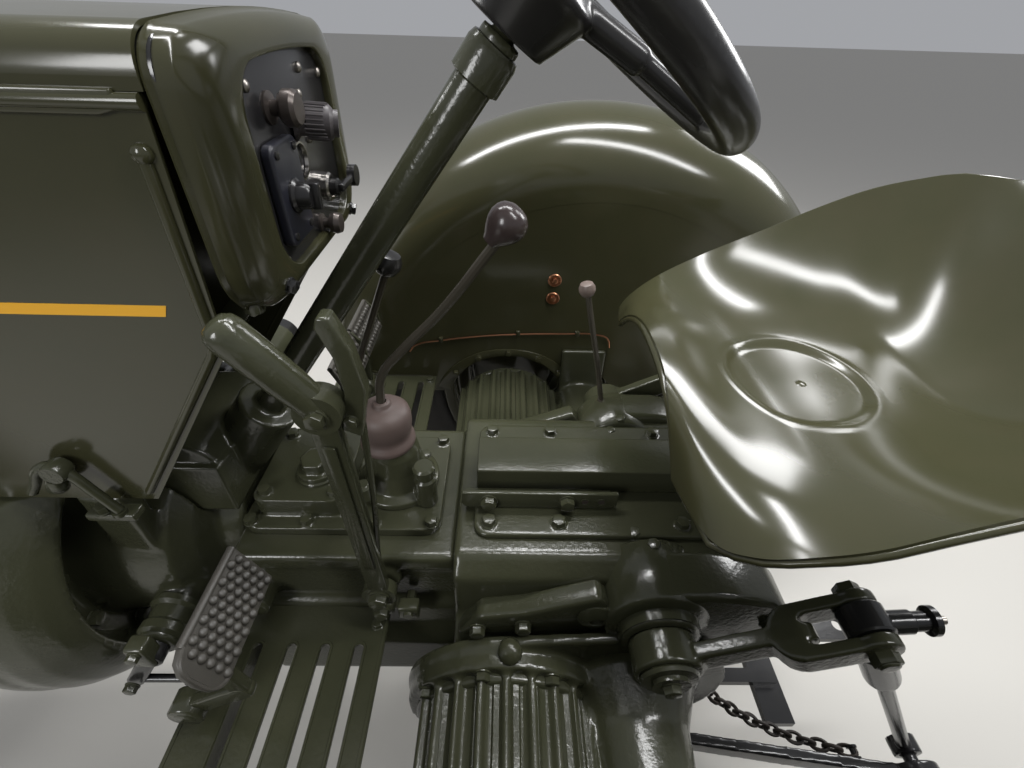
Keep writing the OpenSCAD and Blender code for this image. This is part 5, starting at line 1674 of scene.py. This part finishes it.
@dataclass
class Footplates(Assembly):
    """Slotted footplates, their flanged slots and cross brackets.

    Attributes:
        top_z: Height of their upper side.
        rear: Station of their rear edge.
        front: Station of their front edge.
        slots: Stations of the slots.
        slot_r: Radius of a slot's ends.
    """

    top_z: float = 632.0
    rear: float = -336.0
    front: float = -562.0
    slots: tuple[float, ...] = (-504.0, -459.0, -414.0, -369.0)
    slot_r: float = 8.6

    def build(self) -> None:
        """Adds the rims of the slots and the bolts to the plates."""
        self.paint.coat(self.frame["nodes"]["footplates"], "cast")
        for side in Side:
            bm = bmesh.new()
            z = self.top_z
            for x in self.slots:
                inner = 260 if side > 0 and x < -470 else 182
                loop = [on_arc(x, inner, self.slot_r, a) for a in range(180, 361, 20)]
                loop += [on_arc(x, 396, self.slot_r, a) for a in range(0, 181, 20)]
                path = [spot(px, side * py, z - 0.6) for px, py in loop]
                if side > 0 and x < -470:
                    path = path[10:]
                    add_tube(bm, path, 2.4 * MM, 8, smooth=False)
                else:
                    add_tube(bm, [*path, path[0]], 2.4 * MM, 8, smooth=False)
            for x in (self.front + 3, self.rear - 3):
                start = 312 if side > 0 and x < -470 else (240 if x < -470 else 130)
                add_tube(bm, [spot(x, side * start, z - 2), spot(x, side * 420, z - 2)], 3.4 * MM, 10, smooth=False)
            for x in (-536, -350):
                add_bolt(bm, spot(x, side * 408, z), UP, 13, 6)
            add_bolt(bm, spot(-350, side * 150, z), UP, 13, 6)
            self.put("footplate_rims_" + side.word, bm, "cast", sharp=50.0)


@dataclass
class Castings(Assembly):
    """The engine, gearbox, rear case and their covers, with their bolts.

    Attributes:
        soft: Nodes that get rounded edges, with the size of the steps in millimetres.
        bell: Station and height of the clutch housing's row of bolts, and the row's radius.
        bolts_z: Lowest and highest place of a bolt in a ring.
        release: Place of the clutch shaft's boss.
        brake: Station and height of the brake housings' middle.
        web: Corners of the bracket beside a brake housing.
        shoulder: Corners of the rockshaft housing's shoulder.
    """

    soft: tuple[tuple[str, float], ...] = (
        ("engine_block", 5.0), ("clutch_housing", 3.6), ("gearbox", 3.6), ("rear_case", 4.2),
        ("gearbox_cover", 2.0), ("shift_tower", 1.5), ("final_drives", 4.0), ("lift_housing", 2.2),
        ("front_support", 4.0), ("front_axle", 3.5),
    )
    bell: Point = (-710.0, 720.0, 171.0)
    bolts_z: Flat = (520.0, 880.0)
    release: Point = (-600.0, -150.0, 690.0)
    brake: Flat = (-170.0, 548.0)
    web: Line = ((-236, 668), (-206, 716), (-150, 726), (-60, 764), (-44, 742), (-40, 700), (-60, 676))
    shoulder: Line = ((15, 785), (80, 785), (146, 772), (176, 744), (180, 692), (156, 648), (90, 636), (30, 648),
                      (-8, 674))

    def build(self) -> None:
        """Rounds and paints the castings and adds their bolts."""
        for node, voxel in self.soft:
            self.soften(node, "cast", voxel)
        self.add_bell_bolts()
        self.add_cover_bolts()
        for side in Side:
            self.add_brake_cover(side)
        for side in Side:
            self.add_side_web(side)
            self.add_shoulder(side)

    def add_bell_bolts(self) -> None:
        """Adds the bolts in the clutch housing's groove and the clutch shaft's boss."""
        x, z, r = self.bell
        low, high = self.bolts_z
        bm = bmesh.new()
        for y, up, angle in ring_of(12, r, 15):
            if low <= z + up <= high:
                add_bolt(bm, spot(x, y, z + up), BACK, 17, 9, spin=angle)
        self.put("bell_bolts", bm, "cast")
        bm = bmesh.new()
        add_lathe(bm, [(26, 0), (31, 3), (31, 10), (26, 14), (25, 30), (28, 34), (28, 44), (24, 48), (0, 48)],
                  spot(*self.release), LEFT, 36)
        add_box(bm, spot(-612, -228, 684), spot(-588, -207, 728), 0.004)
        add_bolt(bm, spot(-600, -228, 718), LEFT, 12, 6)
        add_bolt(bm, spot(-655, -220, 611), LEFT, 14, 8)
        add_tube(bm, [spot(-664, -212, 611), spot(-560, -212, 613)], 4 * MM, 12, smooth=False)
        add_lathe(bm, [(0, 0), (8, 0), (8, 16), (0, 16)], spot(-588, -212, 612.4), BACK, 6)
        self.put("clutch_shaft_parts", bm, "cast")

    def add_cover_bolts(self) -> None:
        """Adds the filler cap, washers and bolts on top of the gearbox."""
        bm = bmesh.new()
        for x in (-514, -440, -352, -274):
            for y in (-77, 77):
                add_bolt(bm, spot(x, y, 766), UP, 15, 8, spin=x * 1.7 + y)
        for x, y in ((-496, 54), (-496, -54), (-404, -54)):
            add_bolt(bm, spot(x, y, 798), UP, 15, 8, spin=x)
        add_lathe(bm, [(29, 0), (29, 6), (26, 9), (24, 10)], spot(-435, -18, 797), UP, 40)
        for cx, cy, a in ring_of(4, 49, 45):
            add_bolt(bm, spot(-330 + cx, cy, 776), UP, 14, 8, spin=a)
        for x in (-196, -104, 60, 116):
            for y in (-86, 86):
                add_bolt(bm, spot(x, y, 781), UP, 16, 8, spin=x + y)
        self.put("cover_bolts", bm, "cast")
        bm = bmesh.new()
        add_lathe(bm, [(15, 0), (15, 5), (12, 8), (12, 13), (15, 15), (15, 26), (12, 29), (0, 29)],
                  spot(-284, -38, 808), UP, 36)
        add_lathe(bm, [(12, 0), (11, 20), (7, 24), (0, 24)], spot(-362, -56, 797), UP, 28)
        self.put("cover_breathers", bm, "cast")

    def add_brake_cover(self, side: Side) -> None:
        """Adds the flanges, ribs and bolts of a brake housing.

        Args:
            side: Its side.
        """
        x0, z0 = self.brake
        bm = bmesh.new()
        for angle in (-28, 18, 62, 104, 148, 206):
            x, z = on_arc(x0, z0, 122, angle)
            if z >= self.bolts_z[0]:
                add_bolt(bm, spot(x, side * 224, z), (0, side, 0), 17, 9, spin=angle)
        for angle in range(24, 160, 12):
            x, z = on_arc(x0, z0, 112, angle)
            add_tube(bm, [spot(x, side * 236, z), spot(x, side * 404, z)], 6.5 * MM, 10, smooth=False)
        add_lathe(bm, [(119, -7), (121, -4), (121, 4), (119, 7), (112, 9)], spot(x0, side * 228, z0),
                  (0, side, 0), 80)
        add_lathe(bm, [(110, -4), (116, 0), (116, 8), (110, 12)], spot(x0, side * 410, z0), (0, side, 0), 80)
        add_lathe(bm, [(16, -6), (15, 6), (10, 12), (0, 14)], spot(x0 + 4, side * 206, z0 + 134),
                  (0, side * 0.7, 0.7), 28)
        self.put("brake_cover_" + side.word, bm, "cast", sharp=48.0)

    def add_side_web(self, side: Side) -> None:
        """Adds the webbed bracket between a brake housing and the rockshaft's housing.

        Args:
            side: Its side.
        """
        bm = bmesh.new()
        add_slab(bm, upright(side * 150, self.web), push_y(side * 30), 7 * MM, 4)
        add_lathe(bm, [(24, -6), (24, 26), (18, 30), (8, 31), (8, 29), (0, 29)], spot(-60, side * 156, 722),
                  (0, side, 0), 36)
        for x, z in ((-208, 690), (-150, 700)):
            add_bolt(bm, spot(x, side * 180, z), (0, side, 0), 17, 9, spin=x)
        self.put("case_web_" + side.word, bm, "cast", sharp=48.0)

    def add_shoulder(self, side: Side) -> None:
        """Adds the rounded shoulder of the rockshaft's housing.

        Args:
            side: Its side.
        """
        x0, z0 = ROCKSHAFT
        bm = bmesh.new()
        add_lathe(bm, [(0, 60), (50, 60), (50, 102), (52, 106), (62, 108), (66, 112), (66, 184), (62, 190),
                       (50, 192), (49, 204), (0, 204)], spot(x0, 0, z0), (0, side, 0), 56)
        add_slab(bm, upright(side * 124, self.shoulder), push_y(side * 64), 10 * MM, 5)
        for x, z in ((152, 724), (70, 662), (132, 668)):
            add_bolt(bm, spot(x, side * 188, z), (0, side, 0), 16, 8, spin=x)
        for y in (96, 118):
            add_bolt(bm, spot(-4 + (y - 96) * 0.9, side * y, 772 + (y - 96) * 0.3), (-0.25, 0, 1), 15, 8, spin=y)
        self.put("lift_shoulder_" + side.word, bm, "cast", sharp=48.0)


@dataclass
class SeatArm(Assembly):
    """Channel arm of the seat with its adjusting flange.

    Attributes:
        low_z: Its lower edge.
        top_z: Its upper side.
        half: Half of its width.
        front: Station of its front end.
        fin: Corners of the plates that carry the seat's spring.
        slide: Distance from the centre line and height of the slide's holes.
        flange: Corners of the slide.
        holes: Stations of the slide's free holes.
    """

    low_z: float = 781.0
    top_z: float = 823.0
    half: float = 33.0
    front: float = -214.0
    fin: Line = ((94, 786), (94, 822), (186, 926), (202, 926), (202, 912), (130, 800), (120, 786))
    slide: Flat = (-62.0, 797.0)
    flange: Line = ((-232, 811), (-234, 790), (-228, 782), (-30, 782), (-24, 788), (-24, 811))
    holes: Flat = (-68.0, -46.0)

    def build(self) -> None:
        """Builds the arm."""
        bm = bmesh.new()
        w, lo, hi = self.half, self.low_z, self.top_z
        outline = [(-w, lo), (-w, hi), (w, hi), (w, lo), (w - 6, lo), (w - 6, hi - 6), (-w + 6, hi - 6), (-w + 6, lo)]
        add_slab(bm, [spot(self.front, y, z) for y, z in outline], Vector((330 * MM, 0, 0)), 2.2 * MM, 3)
        add_slab(bm, upright(-w + 1, self.fin), push_y(2 * w - 2), 3 * MM, 3)
        add_box(bm, spot(self.front + 2, -w + 5, lo), spot(self.front + 8, w - 5, hi - 4), 0.0015)
        self.put("seat_channel", bm, "cast", stands_for=("seat_arm",))
        bm = bmesh.new()
        y, z = self.slide
        add_slab(bm, upright(y, self.flange), push_y(7), 1.6 * MM, 3)
        add_slab(bm, [spot(x, y + 4, 781.5) for x in (-230, -28)] + [spot(x, -32, 781.5) for x in (-28, -230)],
                 Vector((0, 0, 6 * MM)), 1.4 * MM, 3)
        add_bolt(bm, spot(-197, y, z), LEFT, 18, 9, spin=20)
        add_bolt(bm, spot(-92, y, z), LEFT, 18, 9, spin=5)
        for x in self.holes:
            add_lathe(bm, [(6.4, 0), (6.2, 1.2), (5, 1.2), (4.6, -0.4)], spot(x, y - 0.2, z), LEFT, 20)
        self.put("seat_slide", bm, "cast")
        # Dark discs in the slide's free holes are painted shade, standing for the dark seen through them.
        bm = bmesh.new()
        for x in self.holes:
            add_lathe(bm, [(4.9, 0), (0, -0.5)], spot(x, y - 0.5, z), LEFT, 20)
        self.put("slide_holes", bm, "heat")


@dataclass
class LiftGear(Assembly):
    """Lift arms, rods, lower links and the check chains.

    Attributes:
        arm_y: Distance of the arms from the centre line.
        reach: Length of an arm.
        slope: Its slope from level.
        chain_start: Where the right check chain hangs on the rear case.
        chain_end: Where it hangs on the lower link.
        links: Links of a chain.
        sag: How far a chain hangs through in its middle.
    """

    arm_y: float = 232.0
    reach: float = 212.0
    slope: float = 27.8
    chain_start: Point = (140.0, 150.0, 452.0)
    chain_end: Point = (372.0, 241.0, 424.0)
    links: int = 15
    sag: float = 46.0

    def build(self) -> None:
        """Softens the linkage and adds its pins, blocks and chains."""
        self.soften("lift_arms", "cast", 2.4, passes=7, keep=0.45, body="lift_arms")
        for side in Side:
            rod, lower = "lift_rod_" + side.word, "lower_link_" + side.word
            self.soften(rod, "black", 2.0, passes=3, keep=0.5, body=rod)
            self.soften(lower, "black", 2.6, passes=3, keep=0.4, body=lower)
        x, z = ROCKSHAFT
        px, pz = on_arc(x, z, self.reach, self.slope)
        for side in Side:
            bm = bmesh.new()
            y = side * self.arm_y
            add_bolt(bm, spot(px, y + side * 31, pz), (0, side, 0), 24, 11, washer=False)
            add_bolt(bm, spot(px, y - side * 31, pz), (0, -side, 0), 24, 11, washer=False)
            add_lathe(bm, [(32, 0), (34, 3), (32, 7), (22, 8), (22, 13), (0, 13)], spot(x, y + side * 13, z),
                      (0, side, 0), 36)
            add_bolt(bm, spot(x, y + side * 25, z), (0, side, 0), 19, 8, spin=15)
            self.put("lift_pins_" + side.word, bm, "cast", "lift_arms")
            self.add_rod_block(side, px, pz)
            self.add_chain(side)

    def add_rod_block(self, side: Side, px: float, pz: float) -> None:
        """Adds the swivel block at the top of a lift rod and its cross pin.

        Args:
            side: Its side.
            px: Station of the arm's pin.
            pz: Height of the arm's pin.
        """
        y = side * self.arm_y
        bm = bmesh.new()
        add_lathe(bm, [(0, -15.2), (22, -15.2), (23.5, -13), (23.5, 13), (22, 15.2), (0, 15.2)], spot(px, y, pz),
                  RIGHT, 36)
        add_lathe(bm, [(12, 20), (12, 44), (10, 46), (10, 60), (15, 62), (15, 68), (0, 69)], spot(px, y, pz),
                  (1, 0, 0.12), 28)
        self.put("rod_block_" + side.word, bm, "black", "lift_rod_" + side.word)
        bm = bmesh.new()
        add_lathe(bm, [(4.2, 0), (4.2, 10), (0, 10)], spot(px + 69, y, pz + 8), (1, 0, 0.12), 16)
        self.put("rod_pin_end_" + side.word, bm, "steel", "lift_rod_" + side.word)

    def add_chain(self, side: Side) -> None:
        """Adds the check chain from the rear case to the lower link.

        Args:
            side: Its side.
        """
        start, end = (Vector((x, side * y, z)) for x, y, z in (self.chain_start, self.chain_end))
        joints = []
        for k in range(self.links + 1):
            t = k / self.links
            joints.append(start.lerp(end, t) - Vector((0, 0, self.sag * 4 * t * (1 - t))))
        bm = bmesh.new()
        for k, (p, q) in enumerate(zip(joints, joints[1:])):
            run = (q - p).normalized()
            aside = run.cross(Vector(UP)).normalized()
            if k % 2:
                aside = run.cross(aside).normalized()
            mid = (p + q) / 2
            long = (q - p).length / 2 + 3.2
            path = [mid + run * (long * math.cos(math.radians(a))) + aside * (7.6 * math.sin(math.radians(a)))
                    for a in range(0, 360, 30)]
            add_tube(bm, [spot(*v) for v in (*path, path[0])], 3.1 * MM, 8)
        chain = self.put("check_chain_" + side.word, bm, "heat", "", sharp=60.0)
        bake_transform(chain)
        bm = bmesh.new()
        low, high = sorted((side * 142, side * 158))
        add_box(bm, spot(118, low, 440), spot(146, high, 466), 0.003)
        self.put("chain_lug_" + side.word, bm, "cast")
        bm = bmesh.new()
        add_lathe(bm, [(0, -1), (8, -1), (8, 3), (4.4, 4), (4.4, 14), (8, 15), (8, 18), (0, 19)],
                  spot(372, side * 250, 422), (0, -side, 0), 20)
        self.put("chain_pin_" + side.word, bm, "black", "lower_link_" + side.word)


@dataclass
class Tyres(Assembly):
    """Rear tyres with rounded lugs and ribbed front tyres.

    Attributes:
        rear: Outer diameter, width, rim diameter and distance from the centre line.
        front: The same for a front tyre.
        lugs: Lugs in each row.
    """

    rear: tuple[float, float, float, float] = (1130.0, 240.0, 620.0, 577.0)
    front: tuple[float, float, float, float] = (660.0, 140.0, 410.0, 600.0)
    lugs: int = 20

    def build(self) -> None:
        """Builds the four tyres."""
        for side in Side:
            self.build_rear(side)
            self.build_front(side)

    def build_rear(self, side: Side) -> None:
        """Builds a rear tyre.

        Args:
            side: Its side.
        """
        d, width, rim, track = self.rear
        r, w, bead = d / 2 - 28, width / 2, rim / 2
        centre = spot(0, side * track, d / 2)
        half = [(bead, w - 34), (bead + 8, w - 29), (bead + 24, w - 23), (bead + 34, w - 14), (bead + 38, w - 9),
                (bead + 44, w - 5.5), (bead + 60, w - 1.6), (r - 96, w - 0.4), (r - 92, w + 1.2), (r - 86, w + 1.2),
                (r - 82, w - 0.6), (r - 58, w - 2.4), (r - 36, w - 8), (r - 20, w - 16), (r - 9, w - 28),
                (r - 3, w - 46), (r - 0.6, w * 0.32), (r, 0)]
        line = half + [(a, -b) for a, b in reversed(half[:-1])] + half[:1]
        bm = bmesh.new()
        add_lathe(bm, line, centre, (0, side, 0), 120)
        wheel = "rear_wheel_" + side.word
        self.put("rear_casing_" + side.word, bm, "tyre", wheel, stands_for=("rear_tyre_" + side.word,), sharp=60.0)
        bm = bmesh.new()
        for k in range(self.lugs):
            for row in (-1, 1):
                start = (k + (0.5 if row < 0 else 0)) * 360 / self.lugs - 90
                self.add_lug(bm, start, row, side, centre, d / 2, w)
        self.put("rear_lugs_" + side.word, bm, "tyre", wheel, sharp=40.0)

    def add_lug(self, bm: bmesh.types.BMesh, start: float, row: int, side: Side, centre: Vector,
                radius: float, w: float) -> None:
        """Adds one lug.

        Args:
            bm: The mesh that gets it.
            start: Its angle in degrees.
            row: -1 or 1 for the two rows.
            side: Its side.
            centre: The tyre's middle.
            radius: Radius over the lugs in millimetres.
            w: Half of the tyre's width.
        """
        rings: list[list[Vector]] = []
        stations = ((0.03, 0.0, 0.0, 17.0), (0.25, 0.6, 3.4, 16.5), (0.5, 3.0, 6.5, 16.5), (0.75, 9.5, 9.0, 17.5),
                    (0.93, 20.0, 10.4, 18.5), (0.985, 34.0, 10.9, 19.0))
        for share, drop, turn, half in stations:
            top = radius - drop
            ring = []
            for h, wide in ((-38, 6.0), (-8, 2.6), (-1.5, 1.2), (0, -1.6)):
                ring.append((top + h, -(half + wide)))
            ring += [(a, -b) for a, b in reversed(ring)]
            points = []
            for rr, off in ring:
                a = math.radians(start + turn) + off / rr
                y = -row * share * w
                points.append(centre + Vector((rr * math.cos(a), side * y, rr * math.sin(a))) * MM)
            rings.append(points)
        verts = [bm.verts.new(p) for p in rings[0]]
        lines = [bm.edges.new((verts[i], verts[(i + 1) % len(verts)])) for i in range(len(verts))]
        bm.faces.new(verts)
        for ring in rings[1:]:
            fresh = bmesh.ops.extrude_edge_only(bm, edges=lines)["geom"]
            new = {g for g in fresh if isinstance(g, bmesh.types.BMVert)}
            verts = [next(e.other_vert(v) for e in v.link_edges if e.other_vert(v) in new) for v in verts]
            for vert, place in zip(verts, ring):
                vert.co = place
            lines = [g for g in fresh if isinstance(g, bmesh.types.BMEdge) and all(v in new for v in g.verts)]
        bm.faces.new(verts)

    def build_front(self, side: Side) -> None:
        """Builds a front tyre.

        Args:
            side: Its side.
        """
        d, width, rim, track = self.front
        r, w, bead = d / 2, width / 2, rim / 2
        half = [(bead, w - 20), (bead + 6, w - 15), (bead + 22, w - 7), (bead + 30, w - 4), (bead + 34, w - 3.4),
                (r - 76, w - 0.4), (r - 70, w + 0.6), (r - 62, w + 0.6), (r - 58, w - 0.8), (r - 40, w - 3),
                (r - 26, w - 7), (r - 18, w - 13), (r - 14, w - 20), (r - 15, w - 25), (r - 21, w - 27), (r - 22, 31),
                (r - 20, 26), (r - 6, 23), (r - 3, 20), (r - 1.4, 10), (r - 1, 0)]
        line = half + [(a, -b) for a, b in reversed(half[:-1])] + half[:1]
        bm = bmesh.new()
        add_lathe(bm, line, spot(-WHEELBASE, side * track, r), (0, side, 0), 96)
        self.put("front_casing_" + side.word, bm, "tyre", "front_wheel_" + side.word,
                 stands_for=("front_tyre_" + side.word,), sharp=50.0)


@dataclass
class Wheels(Assembly):
    """Pressed wheels, their hubs and nuts.

    Attributes:
        rear: Distance from the centre line and height of a rear wheel's middle.
        front: The same for the outer side of a front wheel's hub.
    """

    rear: Flat = (577.0, 565.0)
    front: Flat = (616.0, 330.0)

    def build(self) -> None:
        """Softens the wheels and adds nuts, caps and valves."""
        for side in Side:
            rear, front = "rear_wheel_" + side.word, "front_wheel_" + side.word
            self.soften(rear, "sheet", 4.0, passes=3, keep=0.22, body=rear)
            self.soften(front, "sheet", 3.2, passes=3, keep=0.24, body=front)
            y, z = self.rear
            bm = bmesh.new()
            for cx, cz, a in ring_of(8, 64):
                add_bolt(bm, spot(cx, side * (y + 24), z + cz), (0, side, 0), 22, 11, spin=a)
            for cx, cz, a in ring_of(8, 232):
                add_bolt(bm, spot(cx, side * (y + 3), z + cz), (0, side, 0), 18, 8, spin=a)
            add_lathe(bm, [(0, 0), (30, 0), (30, 8), (22, 14), (0, 15)], spot(0, side * (y + 53), z),
                      (0, side, 0), 40)
            self.put("rear_hub_nuts_" + side.word, bm, "cast", rear)
            y, z = self.front
            bm = bmesh.new()
            for cx, cz, a in ring_of(6, 56):
                add_bolt(bm, spot(-WHEELBASE + cx, side * y, z + cz), (0, side, 0), 17, 9, spin=a)
            add_lathe(bm, [(33, 0), (33, 6), (29, 9), (29, 24), (24, 30), (10, 33), (0, 33.5)],
                      spot(-WHEELBASE, side * (y + 21), z), (0, side, 0), 40)
            self.put("front_hub_cap_" + side.word, bm, "cast", front)
            bm = bmesh.new()
            add_tube(bm, [spot(20, side * 620, 284), spot(18, side * 634, 292), spot(14, side * 642, 304)],
                     3.4 * MM, 10)
            self.put("rear_valve_" + side.word, bm, "steel", rear)


@dataclass
class FrontEnd(Assembly):
    """Headlamps and exhaust, with their rings, feet and bands.

    Attributes:
        lamp: Station, distance from the centre line and height of a headlamp.
        pipe: Station of the exhaust and its distance from the centre line.
    """

    lamp: Point = (-1560.0, 242.0, 1130.0)
    pipe: Flat = (-1180.0, 119.0)

    def build(self) -> None:
        """Softens the front parts and adds their rings and caps."""
        self.soften("headlamps", "black", 2.2, passes=3, keep=0.4)
        x, y, z = self.lamp
        for side in Side:
            bm = bmesh.new()
            add_lathe(bm, [(76, 6), (84, 4), (87, 0), (87, -8), (84, -12), (79, -12)], spot(x - 50, side * y, z),
                      (-1, 0, 0), 64)
            add_bolt(bm, spot(x - 56, side * y, z - 88), (0, 0, -1), 9, 6, washer=False)
            self.put("lamp_ring_" + side.word, bm, "chrome")
            bm = bmesh.new()
            add_lathe(bm, [(24, 50), (22, 55), (12, 58), (0, 58.5)], spot(x, side * y, z), BACK, 40)
            add_bolt(bm, spot(x, side * (y - 76), z - 16), (0, 0, -1), 20, 12)
            self.put("lamp_foot_" + side.word, bm, "black")
        bm = bmesh.new()
        for z in (1384, 1640):
            add_lathe(bm, [(47, 0), (49, 3), (49, 9), (47, 12)], spot(*self.pipe, z), UP, 48)
        add_lathe(bm, [(23, 0), (25, 3), (25, 16), (23, 19)], spot(*self.pipe, 1318), UP, 40)
        self.put("exhaust_bands", bm, "heat")


@dataclass
class Steering(Assembly):
    """Steering wheel, column and the steering box below.

    Attributes:
        middle: The wheel's middle.
        slope: Slope of the column from level.
    """

    middle: Point = (-147.0, 0.0, 1349.0)
    slope: float = 53.0

    def build(self) -> None:
        """Builds the wheel and softens the column."""
        self.soften("steering_column", "cast", 2.6, passes=3, keep=0.4)
        self.soften("steering_wheel", "rim", 2.0, passes=8, keep=0.45, body="steering_wheel")
        a = math.radians(self.slope)
        axis = (math.cos(a), 0, math.sin(a))
        top = spot(*self.middle)
        bm = bmesh.new()
        add_lathe(bm, [(0, 6), (27, 6), (27, 8), (22, 11), (10, 12.4), (0, 12.6)], top, axis, 40)
        self.put("wheel_cap", bm, "black", "steering_wheel")
        bm = bmesh.new()
        add_lathe(bm, [(19, -104), (23, -102), (23, -78), (21, -72), (15, -70), (11, -69)], top, axis, 40)
        self.put("column_bush", bm, "cast")


PLAIN_NODES: dict[str, str] = {
    "radiator": "fins", "hood_top": "sheet", "hood_nose": "sheet", "grille": "black",
    "lamp_glass": "lens", "exhaust": "heat", "drawbar": "black", "pitman_arm": "black",
    "drag_link": "black", "knuckle_left": "cast", "knuckle_right": "cast", "tie_rod": "black",
    "hood_side_left": "sheet", "hood_side_right": "sheet",
}


def main() -> None:
    """Builds the tractor's looks in order."""
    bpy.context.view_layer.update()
    paint = Paintshop()
    Studio().build()
    for node, finish in PLAIN_NODES.items():
        paint.coat(frame["nodes"][node], finish)
    kinds: tuple[type[Assembly], ...] = (
        Castings, Hood, Cowl, Dash, Steering, GearControls, HandLever, Pedals, Footplates,
        SeatArm, SeatPan, Fenders, FenderFittings, LiftGear, Wheels, Tyres, FrontEnd,
    )
    for kind in kinds:
        kind(frame, paint).build()
        log.info("built %s", kind.__name__)


if __name__ == "__main__":
    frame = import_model()
    main()
